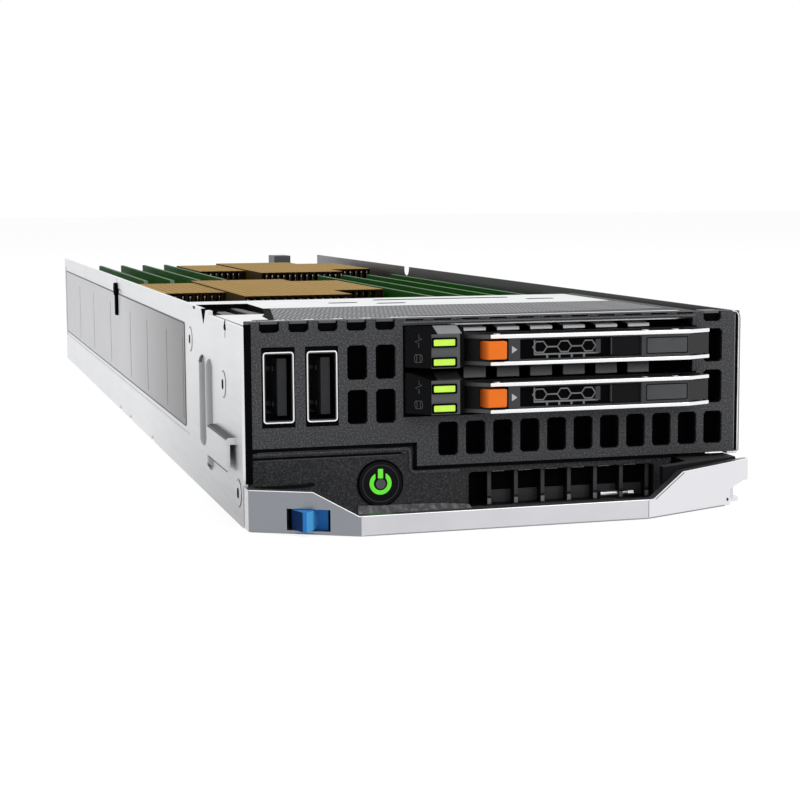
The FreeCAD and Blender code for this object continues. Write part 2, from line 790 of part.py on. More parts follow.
# Drives, carriers, hinged grips and release buttons
pivot = ("pivot_across", "pivot_deep")
connectors = [box(
    "backplane", (cage_left, cage_right), ("shelf_rear", "shelf_rear + board_thick"),
    ("gauge", cage_top + " - 1"))]
for i, level in enumerate(("lower", "upper")):
    low = "carrier_low + %d*carrier_pitch" % i
    high = low + " + carrier_tall"
    mid = low + " + carrier_tall/2"
    blank = box(
        level + "_blank", ("carrier_left", "carrier_right"), ("carrier_front", "carrier_rear"), (low, high))
    hollow = box(
        level + "_hollow", ("carrier_left + carrier_rail", "carrier_right - carrier_rail"),
        ("carrier_front + carrier_wall", "carrier_rear + 1"), (low + " + carrier_floor", high + " + 1"))
    ears = []
    for k, (a, b) in enumerate(((low, low + " + ear_thick"), (high + " - ear_thick", high))):
        ears.append(rod("%s_ear_%d" % (level, k), "z", pivot, (a, b), "ear_radius"))
        ears.append(box(
            "%s_ear_root_%d" % (level, k), ("pivot_across - ear_radius", "pivot_across + ear_radius"),
            ("pivot_deep", "carrier_front + 0.5"), (a, b)))
    pin = rod(level + "_pivot", "z", pivot, (low, high), "pivot_radius")
    node("ssd_carrier_" + level, fuse(
        level + "_carrier", [cut(level + "_frame", blank, [hollow]), pin] + ears))

    drive_front = "carrier_front + carrier_wall + drive_play"
    node("ssd_" + level, box(
        level + "_drive",
        ("carrier_left + carrier_rail + drive_play", "carrier_right - carrier_rail - drive_play"),
        (drive_front, drive_front + " + drive_long"),
        (low + " + carrier_floor", low + " + carrier_floor + drive_tall")))
    connectors.append(box(
        level + "_connector", ("plug_left", "plug_right"),
        ("carrier_front + carrier_wall + drive_long + 1", "shelf_rear"),
        (low + " + carrier_floor + clear_gap + 0.4", low + " + carrier_floor + drive_tall - 0.6")))

    grip_low = low + " + grip_gap"
    grip_high = high + " - grip_gap"
    bow = profile(level + "_bow", "XY_Plane", (
        ("carrier_left", "carrier_front - clear_gap"), ("carrier_left", "carrier_front - 1.3"),
        ("grip_left", "grip_front"), ("grip_right", "grip_front"), ("grip_tip", "grip_tip_front"),
        ("grip_tip", "grip_tip_front + grip_tip_thick"), ("pivot_across", "pivot_deep"),
        ("grip_right - 0.8", "grip_front + grip_thick"), ("grip_left + 0.8", "grip_front + grip_thick"),
        ("carrier_left + 1.6", "carrier_front - clear_gap")), grip_low, grip_high)
    lug = rod(
        level + "_lug", "z", pivot,
        (low + " + ear_thick + clear_gap", high + " - ear_thick - clear_gap"), "lug_radius")
    clear_low = rod(
        level + "_clear_low", "z", pivot, (low + " - 1", low + " + ear_thick + clear_gap"),
        "ear_radius + ear_clear")
    clear_high = rod(
        level + "_clear_high", "z", pivot, (high + " - ear_thick - clear_gap", high + " + 1"),
        "ear_radius + ear_clear")
    bore = rod(level + "_bore", "z", pivot, (low + " - 2", high + " + 2"), "pivot_radius + pivot_play")
    trimmed = cut(level + "_grip_trim", bow, [clear_low, clear_high])
    joined = fuse(level + "_grip_form", [trimmed, lug])
    band = (mid + " - recess_half", mid + " + recess_half")
    cells = []
    for k in range(5):
        spot = "cell_first + %d*cell_pitch" % k
        for step in ((0,) if k % 2 == 0 else (-1, 1)):
            cells.append(hexagon(
                "%s_cell_%d_%d" % (level, k, step), "y", (spot, mid + " + %d*cell_rise" % step),
                ("grip_front - 1", "grip_front + grip_thick + 1"), "cell_radius"))
    mesh = common(level + "_mesh", group(level + "_cells", cells), box(
        level + "_band", ("recess_left", "recess_right"), ("grip_front - 2", "grip_front + 4"), band))
    windows = [
        bore,
        box(level + "_window", ("release_left - slide_gap", "release_right + slide_gap"),
            ("grip_front - 1", "carrier_front - clear_gap - 0.2"),
            (mid + " - release_tall/2 - slide_gap", mid + " + release_tall/2 + slide_gap")),
        fuse(level + "_openwork", [
            box(level + "_recess", ("recess_left", "recess_right"),
                ("grip_front - 1", "grip_front + recess_sink"), band),
            mesh]),
    ]
    node("ssd_handle_" + level, cut(level + "_grip", joined, windows))
    trims = []
    for k, (a, b) in enumerate((
            (grip_low, grip_low + " + trim_tall"), (grip_high + " - trim_tall", grip_high))):
        trims.append(profile("%s_trim_%d" % (level, k), "XY_Plane", (
            ("grip_left", "grip_front - trim_out"), ("grip_right", "grip_front - trim_out"),
            ("grip_tip", "grip_tip_front - trim_out"), ("grip_tip", "grip_tip_front"),
            ("grip_right", "grip_front"), ("grip_left", "grip_front")), a, b))
    node("ssd_trim_" + level, group(level + "_trim", trims))
    release_rear = "release_front + release_long"
    node("ssd_release_" + level, profile(level + "_release", "XY_Plane", (
        ("release_left", release_rear), ("release_left", "release_front + release_slope"),
        ("release_left + release_slope", "release_front"), ("release_right", "release_front"),
        ("release_right", release_rear)), mid + " - release_tall/2", mid + " + release_tall/2"))
node("drive_backplane", group("connector_group", connectors))

# Ejector handle: bow, hinge lug, slider window
left_corner = "bow_left_deep + bow_end*left_slope + bow_thick"
right_corner = "bow_right_deep - bow_end*right_slope + bow_thick"
bow = profile("handle_bow", "XY_Plane", (
    ("bow_left", "bow_return"), ("bow_left", "bow_left_deep"), ("bend_left", "bend_left_deep"),
    ("bend_right", "bend_right_deep"), ("bow_right", "bow_right_deep"), ("bow_right", right_corner),
    ("bow_right - bow_end", right_corner), ("bend_right", "bend_right_deep + bow_thick"),
    ("bend_left", "bend_left_deep + bow_thick"), ("bow_left + bow_end", left_corner),
    ("bow_left + bow_end", "bow_return")), "bow_low", "bow_high")
dip_deep = ("bend_left_deep - 2", "hinge_deep")
dip = profile("handle_dip", "XZ_Plane", (
    ("bow_left - 1", "bow_high + 1"), ("bow_left - 1", "bow_left_high"), ("dip_left", "bow_left_high"),
    ("dip_left_low", "bow_strip"), ("dip_right_low", "bow_strip"), ("dip_right", "bow_right_high"),
    ("bow_right + 1", "bow_high"), ("bow_right + 1", "bow_high + 1")), *dip_deep)
toe = profile("handle_toe", "XZ_Plane", (
    ("toe_left", "bow_low - 1"), ("toe_left", "toe_step"), ("toe_right", "toe_low"),
    ("bow_right + 1", "toe_low"), ("bow_right + 1", "bow_low - 1")), *dip_deep)
hinge = ("hinge_across", "hinge_deep")
lift = rod("handle_lift", "z", hinge, ("bow_low - 1", "bow_raise"), "hinge_swing")


def slanted(name, along, into, z):
    solid = doc.addObject("Part::Box", name)
    solid.setExpression("Length", "(%s) - (%s)" % (ref(along[1]), ref(along[0])))
    solid.setExpression("Width", "(%s) - (%s)" % (ref(into[1]), ref(into[0])))
    solid.setExpression("Height", "(%s) - (%s)" % (ref(z[1]), ref(z[0])))
    s = number(along[0])
    d = number(into[0])
    solid.Placement = FreeCAD.Placement(
        FreeCAD.Vector(
            bow_left + s * left_unit[0] - d * left_unit[1], bow_left_deep + s * left_unit[1] + d * left_unit[0],
            number(z[0])),
        FreeCAD.Rotation(FreeCAD.Vector(0, 0, 1), left_turn))
    return solid


slot = slanted("handle_slot", ("slot_start", "slot_end"), ("-2", "4"), ("slot_low", "slot_high"))
trimmed = cut("handle_trim", cut("handle_dipped", bow, [dip]), [fuse("handle_foot", [lift, toe])])
arm = fuse("handle_arm", [
    trimmed,
    rod("hinge_eye", "z", hinge, ("bow_raise", "hinge_top"), "hinge_lug"),
    box("hinge_web_form", ("hinge_across - hinge_lug/2", "hinge_across + hinge_lug"),
        ("hinge_deep - hinge_web", "hinge_deep"), ("bow_raise", "hinge_top")),
])
hinge_bore = rod("hinge_bore", "z", hinge, ("-5", "20"), "hinge_radius + hinge_play")
node("ejector_handle", cut("handle_form", arm, [slot, hinge_bore]))



def bow_back(x):
    return "bend_right_deep + bow_thick + (%s - bend_right)*right_slope" % x


# Black moulding behind the bow's right block: a wedge, and a shroud over the hinge
near = bow_back("core_left")
far = bow_back("core_right")
wedge = profile("core_wedge", "XY_Plane", (
    ("core_left", near), ("core_right", far), ("core_right", far + " + core_deep"),
    ("core_left + 2", near + " + core_deep"), ("core_left", near + " + core_deep - 1.4")),
    "bow_raise + 0.3", "shroud_top")
shroud = profile("core_shroud", "XY_Plane", (
    ("shroud_left", bow_back("shroud_left")), ("shroud_right", bow_back("shroud_right")),
    ("shroud_right", "shroud_rear"), ("shroud_left", "shroud_rear")), "shroud_low", "shroud_top")
node("handle_core", fuse("core_form", [wedge, shroud]))
node("handle_pin", fuse("pin_form", [
    rod("pin_shaft", "z", hinge, ("gauge", "hinge_top + clear_gap"), "hinge_radius"),
    rod("pin_head", "z", hinge, ("hinge_top + clear_gap", "hinge_top + clear_gap + hinge_head_tall"),
        "hinge_head"),
]))

thumb = profile("slider_thumb", "XY_Plane", (
    ("thumb_start", "slider_in + 0.2"), ("thumb_start", "thumb_shoulder"),
    ("thumb_start + thumb_ridge", "-thumb_out"), ("thumb_start + thumb_ridge + thumb_edge", "-thumb_out"),
    ("thumb_start + thumb_wide", "-thumb_shoulder"), ("thumb_start + thumb_wide", "slider_in + 0.2")),
    "slot_low + slide_gap", "slot_high - slide_gap")
thumb.Placement = FreeCAD.Placement(
    FreeCAD.Vector(bow_left, bow_left_deep, 0), FreeCAD.Rotation(FreeCAD.Vector(0, 0, 1), left_turn))
plate = slanted(
    "slider_plate", ("slider_start", "slider_end"), ("slider_in", "slider_in + slider_thick"),
    ("slot_low - slider_lap", "slot_high + slider_lap"))
node("latch_slider", fuse("slider_form", [plate, thumb]))

# Main board on six-sided posts
board_low = "gauge + post_tall"
board_top = "gauge + post_tall + board_thick"
node("motherboard", box(
    "board_form", ("-board_half", "board_half"), ("board_front", "board_rear"), (board_low, board_top)))
hardware = []
for i in range(6):
    y = "board_front + post_margin + %d*(board_rear - board_front - 2*post_margin)/5" % i
    for k, x in enumerate(("-post_across", "post_across")):
        hardware.append(hexagon("post_%d_%d" % (i, k), "z", (x, y), ("gauge", board_low), "post_radius"))

# Processors and heatsinks with folded-top fins
chip_low = board_top + " + socket_tall"
base_low = board_top + " + socket_tall + chip_tall"
sockets = []
chips = []
for label, mid, sign in (("front", "sink_front_mid", "-"), ("rear", "sink_rear_mid", "")):
    def span(a, b):
        return (a, b) if sign == "" else ("-(%s)" % b, "-(%s)" % a)

    centre = "%s(sink_out - sink_in)/2" % sign
    sockets.append(box(
        label + "_socket", (centre + " - socket_wide/2", centre + " + socket_wide/2"),
        (mid + " - socket_long/2", mid + " + socket_long/2"), (board_top, chip_low)))
    chips.append(box(
        label + "_chip", (centre + " - chip_wide/2", centre + " + chip_wide/2"),
        (mid + " - chip_long/2", mid + " + chip_long/2"), (chip_low, base_low)))
    for i, (dx, dy) in enumerate((("-", "-"), ("-", "+"), ("+", "-"), ("+", "+"))):
        hardware.append(hexagon(
            "%s_stud_%d" % (label, i), "z",
            ("%s %s stud_across" % (centre, dx), "%s %s stud_along" % (mid, dy)),
            (board_top, base_low), "stud_radius"))
    wing_mid = mid + " + sink_wing_shift"
    wing_y = (wing_mid + " - sink_wing_long/2", wing_mid + " + sink_wing_long/2")
    core_y = (mid + " - sink_core_long/2", mid + " + sink_core_long/2")
    wings = box(label + "_sink_wings", span("-sink_in", "sink_out"), wing_y, (base_low, "sink_wing_top"))
    core = box(label + "_sink_core", span("sink_core_in", "sink_core_out"), core_y, (base_low, "sink_top"))
    through = (mid + " - sink_core_long/2 - 1", mid + " + sink_core_long/2 + 1")
    gaps = []
    for part, a, b, top in (
            ("inner", "-sink_in", "sink_core_in", "sink_wing_top"),
            ("core", "sink_core_in", "sink_core_out", "sink_top"),
            ("outer", "sink_core_out", "sink_out", "sink_wing_top")):
        low = span(a, b)[0]
        count = int((number(b) - number(a) - fin_thick) / fin_pitch)
        for i in range(count):
            at = "%s + fin_thick + %d*fin_pitch" % (low, i)
            gaps.append(box(
                "%s_%s_gap_%d" % (label, part, i), (at, at + " + fin_pitch - fin_thick"), through,
                (base_low + " + sink_base", top + " - fin_fold")))
    node("heatsink_" + label, cut(label + "_sink_fins", fuse(label + "_sink_mass", [wings, core]), gaps))
node("cpu_sockets", group("cpu_socket_group", sockets))
node("cpus", group("cpu_group", chips))
node("board_hardware", group("hardware_group", hardware))

# Memory banks: sockets, modules and end latches
for label, sign in (("front", ""), ("rear", "-")):
    start = "bank_" + label
    rear = start + " + module_long"
    slots = []
    modules = []
    for i in range(4):
        mid = "%s(bank_inner + %d*bank_pitch)" % (sign, i)
        tag = "%s_%d" % (label, i + 1)
        housing = box(
            tag + "_housing", (mid + " - slot_half", mid + " + slot_half"),
            (start + " - slot_end_long", rear + " + slot_end_long"), (board_top, board_top + " + slot_tall"))
        cuts = [box(
            tag + "_throat",
            (mid + " - module_thick/2 - module_play", mid + " + module_thick/2 + module_play"),
            (start + " - module_play", rear + " + module_play"),
            (board_top + " + slot_seat", board_top + " + slot_tall + 1"))]
        stick = [box(
            tag + "_module", (mid + " - module_thick/2", mid + " + module_thick/2"), (start, rear),
            (board_top + " + slot_seat", "module_top"))]
        for k in range(9):
            at = "%s + memory_first + %d*memory_pitch" % (start, k)
            stick.append(box(
                "%s_chip_%d" % (tag, k),
                (mid + " - module_thick/2 - memory_thick", mid + " + module_thick/2 + memory_thick"),
                (at, at + " + memory_wide"), ("memory_low", "memory_low + memory_tall")))
        modules.append(fuse(tag + "_stick", stick))
        across = (mid + " - latch_half", mid + " + latch_half")
        for end, edge, out in (("front", start, "-"), ("rear", rear, "+")):
            def away(far_text, near_text):
                ends = ["%s %s (%s)" % (edge, out, far_text), "%s %s (%s)" % (edge, out, near_text)]
                return tuple(ends if out == "-" else reversed(ends))

            key = "%s_%s" % (tag, end)
            axle = (edge + " %s latch_back" % out, board_top + " + latch_up")
            cuts.append(box(
                key + "_pocket",
                (mid + " - latch_half - latch_play", mid + " + latch_half + latch_play"),
                away("slot_end_long + 1", "latch_back - latch_foot - latch_play"),
                (board_top + " + latch_up - latch_foot - slide_gap", board_top + " + slot_tall + 1")))
            node("latch_%s_%d_%s" % (label, i + 1, end), fuse(key + "_lever", [
                rod(key + "_foot", "x", axle, across, "latch_foot"),
                box(key + "_arm", across, away("latch_back + latch_out", "latch_back - latch_in"),
                    (board_top + " + latch_up", "latch_top")),
                box(key + "_head", across, away("latch_back + latch_head", "latch_back - 0.6"),
                    ("latch_top - latch_head_tall", "latch_top")),
                box(key + "_nose", (mid + " - latch_nose_half", mid + " + latch_nose_half"),
                    away("latch_back - latch_in + 0.1", "clear_gap"),
                    ("latch_top - 3 - latch_nose", "latch_top - 3")),
            ]))
        slots.append(cut(tag + "_holder", housing, cuts))
    node("dimm_sockets_" + label, group(label + "_socket_bank", slots))
    node("dimms_" + label, group(label + "_module_bank", modules))

# Board parts and rear connectors
supply = []
for i in range(2):
    for k in range(3):
        x = "%d*(choke_wide + 2) - choke_wide - 1" % i
        y = "choke_front + %d*choke_pitch" % k
        supply.append(box(
            "choke_%d_%d" % (i, k), (x, x + " + choke_wide"), (y, y + " + choke_long"),
            (board_top, board_top + " + choke_tall")))
for i in range(3):
    supply.append(rod(
        "cap_%d" % i, "z", ("%d*cap_pitch" % i, "cap_place"),
        (board_top, board_top + " + cap_tall"), "cap_radius"))
node("power_parts", group("power_group", supply))
chip_y = "board_front + chipset_front"
node("chipset", box(
    "chipset_form", ("chipset_left", "chipset_right"), (chip_y, chip_y + " + chipset_long"),
    (board_top, board_top + " + chipset_tall")))
node("coin_cell", rod(
    "cell_form", "z", ("cell_across", "board_front + cell_place"), (board_top, board_top + " + cell_tall"),
    "cell_half"))
plugs = []
for i, (a, b) in enumerate((
        ("-plug_side_out", "-plug_side_in"), ("-plug_mid", "plug_mid"), ("plug_side_in", "plug_side_out"))):
    plugs.append(box(
        "plug_%d" % i, (a, b), ("plug_front", "tray_depth"), (board_top, board_top + " + plug_tall")))
node("midplane_connectors", group("plug_group", plugs))
node("rear_guide", box(
    "guide_form", ("guide_left", "guide_right"), ("guide_front", "tray_depth - guide_inset"),
    (board_top + " + plug_tall", "guide_top")))

# Top cover over the drive bay
cover_front = "bezel_thick + cover_gap"
through = (cover_low + " - 1", "cover_top + 1")
flange_up = (cover_low + " - cover_flange", cover_low + " + 0.5")
sheet_parts = [
    box("cover_plate", ("-bezel_half", "cover_right"), (cover_front, "cover_rear"), (cover_low, "cover_top")),
    box("cover_flange_left", ("-bezel_half", "-bezel_half + gauge"), ("cutaway_rear + 3", "cover_rear"),
        flange_up),
    box("cover_flange_right", ("cover_right - gauge", "cover_right"), ("cutaway_front", "cover_rear"),
        flange_up),
]
mesh_lean = "mesh_left + mesh_slant*(cutaway_front - mesh_front)/(mesh_rear - mesh_front) - cutaway_rim"
mesh_end = "mesh_left + mesh_slant - cutaway_rim"
cover_cuts = [
    profile("cover_mesh", "XY_Plane", (
        ("mesh_left", "mesh_front"), ("mesh_right", "mesh_front"), ("mesh_right", "mesh_rear"),
        ("mesh_left + mesh_slant", "mesh_rear")), "cover_top - mesh_sink", "cover_top + 1"),
    profile("cover_cutaway", "XY_Plane", (
        ("-bezel_half - 1", "cutaway_front"), (mesh_lean, "cutaway_front"), (mesh_end, "mesh_rear"),
        (mesh_end, "cutaway_rear"), ("-bezel_half - 1", "cutaway_rear")), *through),
    box("cover_patch", ("patch_left", "patch_right"), ("patch_front", "patch_rear"), through),
    soft_box("cover_slot", ("cover_slot_left", "cover_slot_right"),
             ("cover_slot_front", "cover_slot_front + cover_slot_wide"), through, "z", 0.3 * cover_slot_wide),
]
for i, start in enumerate(("hole_left", "hole_left + 1.5*hole_wide", "hole_right")):
    cover_cuts.append(soft_box(
        "cover_hole_%d" % i, (start, start + " + hole_wide"),
        ("hole_front - %d*hole_long" % (2 * (i % 2)), "hole_front - %d*hole_long + hole_long" % (2 * (i % 2))),
        through, "z", 0.4 * hole_long))
node("top_cover", cut("cover_form", fuse("cover_sheet", sheet_parts), cover_cuts))

doc.recompute()
broken = [o.Name for o in doc.Objects if "Invalid" in o.State or "Error" in o.State]
if broken:
    raise SystemExit("broken objects: " + ", ".join(broken))
os.makedirs("parts", exist_ok=True)
for name, item in nodes.items():
    shape = item.Shape
    if shape.isNull() or not shape.isValid() or not shape.Solids:
        raise SystemExit("bad shape: " + name)
    shape.exportStep("parts/%s.step" % name)
print("%d nodes written" % len(nodes))
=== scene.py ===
# Looks of the blade server: finishes for its solids, some with painted light and shade, and thin trim, marks,
# linings, painted shade and painted highlights that ride on them.
# The front faces -Y and up is +Z. Lengths are in millimetres unless a comment says metres.
import json
import math

import bmesh
import bpy
from mathutils import Matrix, Vector


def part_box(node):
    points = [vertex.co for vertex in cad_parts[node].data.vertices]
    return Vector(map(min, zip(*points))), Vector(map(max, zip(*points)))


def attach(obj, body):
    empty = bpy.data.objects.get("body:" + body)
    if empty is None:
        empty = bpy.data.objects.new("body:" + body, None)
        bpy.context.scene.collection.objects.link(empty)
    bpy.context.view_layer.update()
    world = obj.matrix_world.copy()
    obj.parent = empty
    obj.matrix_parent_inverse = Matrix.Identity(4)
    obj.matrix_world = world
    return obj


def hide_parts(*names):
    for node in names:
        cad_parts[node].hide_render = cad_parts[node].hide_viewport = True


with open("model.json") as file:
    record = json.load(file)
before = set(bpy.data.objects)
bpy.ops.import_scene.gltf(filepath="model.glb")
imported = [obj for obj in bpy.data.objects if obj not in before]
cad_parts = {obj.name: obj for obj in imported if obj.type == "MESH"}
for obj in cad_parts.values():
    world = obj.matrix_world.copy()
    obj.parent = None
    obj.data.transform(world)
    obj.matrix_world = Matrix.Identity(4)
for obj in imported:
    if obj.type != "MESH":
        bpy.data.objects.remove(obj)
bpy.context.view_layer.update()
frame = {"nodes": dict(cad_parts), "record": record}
nodes = frame["nodes"]
MM = 0.001
X, Y, Z = 0, 1, 2
LEFTWARD, RIGHTWARD, FORWARD, UPWARD = (-1, 0, 0), (1, 0, 0), (0, -1, 0), (0, 0, 1)

# Patterns of the finishes: scales per metre, depths in metres
CLOUD_SPAN, SPECK_SPAN = (0.3, 0.7), (0.45, 0.72)
METAL_CLOUD, FIN_CLOUD, PLASTIC_CLOUD, FINE_CLOUD = 60.0, 80.0, 90.0, 500.0
METAL_DETAIL, PLASTIC_DETAIL, BRUSH_DETAIL, GRAIN_DETAIL = 5.0, 4.0, 3.0, 2.0
BRUSH_SCALE, FIN_BRUSH_SCALE, BRUSH_DEPTH = 900.0, 700.0, 0.0002
GRAIN_SCALE, GRAIN_DEPTH = 2200.0, 0.00025
NOISE_ROUGH = 0.55
ALONG_Y = (1, 0.05, 1)
BANDS_PER_TURN = 20


# Shader helpers
def blank_tree(owner, output):
    owner.use_nodes = True
    tree = owner.node_tree
    tree.nodes.clear()
    return tree, tree.nodes.new(output)


def add_node(tree, kind, values, links):
    node = tree.nodes.new("ShaderNode" + kind)
    for socket, value in values.items():
        node.inputs[socket].default_value = value
    for socket, source in links.items():
        tree.links.new(source, node.inputs[socket])
    return node


def new_material(name):
    mat = bpy.data.materials.new(name)
    tree, out = blank_tree(mat, "ShaderNodeOutputMaterial")
    shader = tree.nodes.new("ShaderNodeBsdfPrincipled")
    tree.links.new(shader.outputs[0], out.inputs[0])
    coords = tree.nodes.new("ShaderNodeTexCoord")
    return mat, tree, shader, coords


def mapped(tree, source, scale):
    return add_node(tree, "Mapping", {"Scale": scale}, {"Vector": source}).outputs[0]


def noise(tree, source, scale, detail):
    values = {"Scale": scale, "Detail": detail, "Roughness": NOISE_ROUGH}
    return add_node(tree, "TexNoise", values, {"Vector": source}).outputs[0]


def stripes(tree, source, direction, pitch):
    turns = 2 * math.pi / (BANDS_PER_TURN * pitch * MM)
    node = add_node(tree, "TexWave", {"Scale": turns}, {"Vector": source})
    node.wave_type = "BANDS"
    node.bands_direction = direction
    return node.outputs[1]


def ramp(tree, source, low, high, a, b):
    node = add_node(tree, "ValToRGB", {}, {0: source})
    for stop, position, colour in zip(node.color_ramp.elements, (low, high), (a, b)):
        stop.position = position
        stop.color = colour
    return node.outputs[0]


def spread(tree, source, low, high, start=0.0, end=1.0):
    values = {"From Min": start, "From Max": end, "To Min": low, "To Max": high}
    return add_node(tree, "MapRange", values, {"Value": source}).outputs[0]


def combine(tree, operation, a, b):
    node = add_node(tree, "Math", {}, {0: a, 1: b})
    node.operation = operation
    return node.outputs[0]


def blend_colour(tree, factor, a, b):
    node = add_node(tree, "Mix", {}, {0: factor})
    node.data_type = "RGBA"
    for value, socket in ((a, node.inputs[6]), (b, node.inputs[7])):
        if isinstance(value, tuple):
            socket.default_value = value
        else:
            tree.links.new(value, socket)
    return node.outputs[2]


def facing(tree, coords, direction, low, high):
    node = add_node(tree, "VectorMath", {1: direction}, {0: coords.outputs["Normal"]})
    node.operation = "DOT_PRODUCT"
    return spread(tree, node.outputs["Value"], 0.0, 1.0, low, high)


def past(tree, co, axis, start, end):
    node = add_node(tree, "SeparateXYZ", {}, {0: co})
    return spread(tree, node.outputs[axis], 0.0, 1.0, start * MM, end * MM)


def bump(tree, shader, height, strength, distance):
    node = add_node(tree, "Bump", {"Strength": strength, "Distance": distance}, {"Height": height})
    tree.links.new(node.outputs[0], shader.inputs["Normal"])


def grey(v):
    return (v, v, v * 1.02, 1.0)


def tone(c, k):
    return (c[0] * k, c[1] * k, c[2] * k, 1.0)


def cloudy(tree, co, scale, detail, colour, low, high):
    cloud = noise(tree, co, scale, detail)
    return ramp(tree, cloud, *CLOUD_SPAN, tone(colour, low), tone(colour, high))


def brushed(tree, shader, co, brush, scale, smooth, rough, grain):
    lines = noise(tree, mapped(tree, co, brush), scale, BRUSH_DETAIL)
    tree.links.new(spread(tree, lines, smooth, rough), shader.inputs["Roughness"])
    bump(tree, shader, lines, grain, BRUSH_DEPTH)


def on_sides(tree, coords, paint, sides):
    for direction, low, high, other in sides:
        paint = blend_colour(tree, facing(tree, coords, direction, low, high), paint, other)
    return paint


# Finishes
def metal(name, colour, rough, brush=(1, 1, 1), vary=0.08, grain=0.05, sides=(), shade_painter=None):
    mat, tree, shader, coords = new_material(name)
    co = coords.outputs["Object"]
    shader.inputs["Metallic"].default_value = 1.0
    paint = cloudy(tree, co, METAL_CLOUD, METAL_DETAIL, colour, 1 - vary, 1 + vary)
    paint = on_sides(tree, coords, paint, sides)
    # Painted shade laid over the colour, for finishes that ask for it
    if shade_painter:
        paint = shade_painter(tree, coords, paint, colour)
    tree.links.new(paint, shader.inputs["Base Color"])
    brushed(tree, shader, co, brush, BRUSH_SCALE, rough - 0.09, rough + 0.09, grain)
    return mat


# Painted shade: the tray is darker low at the front of its left wall, and inside its right wall, where shade
# falls
def tray_painted_shade(tree, coords, paint, colour, low=(34, 2), front=(150, 10), right_wall=(45, 50)):
    co = coords.outputs["Object"]
    leftward = facing(tree, coords, LEFTWARD, 0.5, 0.9)
    low_shade = combine(tree, "MULTIPLY", leftward, past(tree, co, Z, *low))
    low_front_shade = combine(tree, "MULTIPLY", low_shade, past(tree, co, Y, *front))
    paint = blend_colour(tree, low_front_shade, paint, tone(colour, 0.5))
    # Painted shade on the inner face of the right wall
    inside = combine(tree, "MULTIPLY", leftward, past(tree, co, X, *right_wall))
    return blend_colour(tree, inside, paint, tone(colour, 0.16))


def plastic(name, colour, rough, grain=0.25, size=GRAIN_SCALE, vary=0.15, shine=0.2, speck=None, sides=(),
            shade_zone=None):
    mat, tree, shader, coords = new_material(name)
    co = coords.outputs["Object"]
    paint = cloudy(tree, co, PLASTIC_CLOUD, PLASTIC_DETAIL, colour, 1 - vary, 1 + vary)
    fine = noise(tree, co, size, GRAIN_DETAIL)
    if speck:
        paint = blend_colour(tree, spread(tree, fine, 0.0, 1.0, *SPECK_SPAN), paint, speck)
    paint = on_sides(tree, coords, paint, sides)
    # Painted shade: the colour turns towards another along one axis
    if shade_zone:
        axis, start, end, other = shade_zone
        paint = blend_colour(tree, past(tree, co, axis, start, end), paint, other)
    tree.links.new(paint, shader.inputs["Base Color"])
    shader.inputs["Specular IOR Level"].default_value = shine
    tree.links.new(spread(tree, fine, rough - 0.06, rough + 0.08), shader.inputs["Roughness"])
    bump(tree, shader, fine, grain, GRAIN_DEPTH)
    return mat


def glow(name, colour, strength, rough=0.3):
    mat, tree, shader, coords = new_material(name)
    co = coords.outputs["Object"]
    for socket, low, high in (("Base Color", 0.22, 0.26), ("Emission Color", 0.92, 1.05)):
        paint = cloudy(tree, co, FINE_CLOUD, GRAIN_DETAIL, colour, low, high)
        tree.links.new(paint, shader.inputs[socket])
    shader.inputs["Emission Strength"].default_value = strength
    shader.inputs["Roughness"].default_value = rough
    return mat


def fin_metal(name, colour, dark, pitch, shine=0.02, flat=(0.6, 0.95)):
    mat, tree, shader, coords = new_material(name)
    co = coords.outputs["Object"]
    shader.inputs["Specular IOR Level"].default_value = shine
    paint = cloudy(tree, co, FIN_CLOUD, METAL_DETAIL, colour, 0.9, 1.1)
    # Painted shade: dark gaps between the fins on the top, dark front faces and darker flanks
    fin_gap_shade = spread(tree, stripes(tree, co, "X", pitch), 0.0, 0.8, 0.74, 1.0)
    top_gap_shade = combine(tree, "MULTIPLY", fin_gap_shade, facing(tree, coords, UPWARD, *flat))
    paint = blend_colour(tree, top_gap_shade, paint, tone(colour, 0.3))
    flank_shade = tone(colour, 0.16)
    walls = ((FORWARD, *flat, dark), (LEFTWARD, *flat, flank_shade), (RIGHTWARD, *flat, flank_shade))
    tree.links.new(on_sides(tree, coords, paint, walls), shader.inputs["Base Color"])
    brushed(tree, shader, co, ALONG_Y, FIN_BRUSH_SCALE, 0.45, 0.6, 0.06)
    return mat


def screen_metal(name, colour, dark, pitch, metallic=0.1, shine=0.1):
    mat, tree, shader, coords = new_material(name)
    co = coords.outputs["Object"]
    shader.inputs["Metallic"].default_value = metallic
    shader.inputs["Specular IOR Level"].default_value = shine
    bands = spread(tree, stripes(tree, co, "X", pitch), 0.0, 1.0, 0.35, 0.65)
    cross = spread(tree, stripes(tree, co, "Y", 4 * pitch), 0.35, 1.0, 0.1, 0.5)
    paint = blend_colour(tree, combine(tree, "MULTIPLY", bands, cross), tone(dark, 1), tone(colour, 1))
    tree.links.new(paint, shader.inputs["Base Color"])
    fine = noise(tree, co, FINE_CLOUD, PLASTIC_DETAIL)
    tree.links.new(spread(tree, fine, 0.5, 0.65), shader.inputs["Roughness"])
    return mat
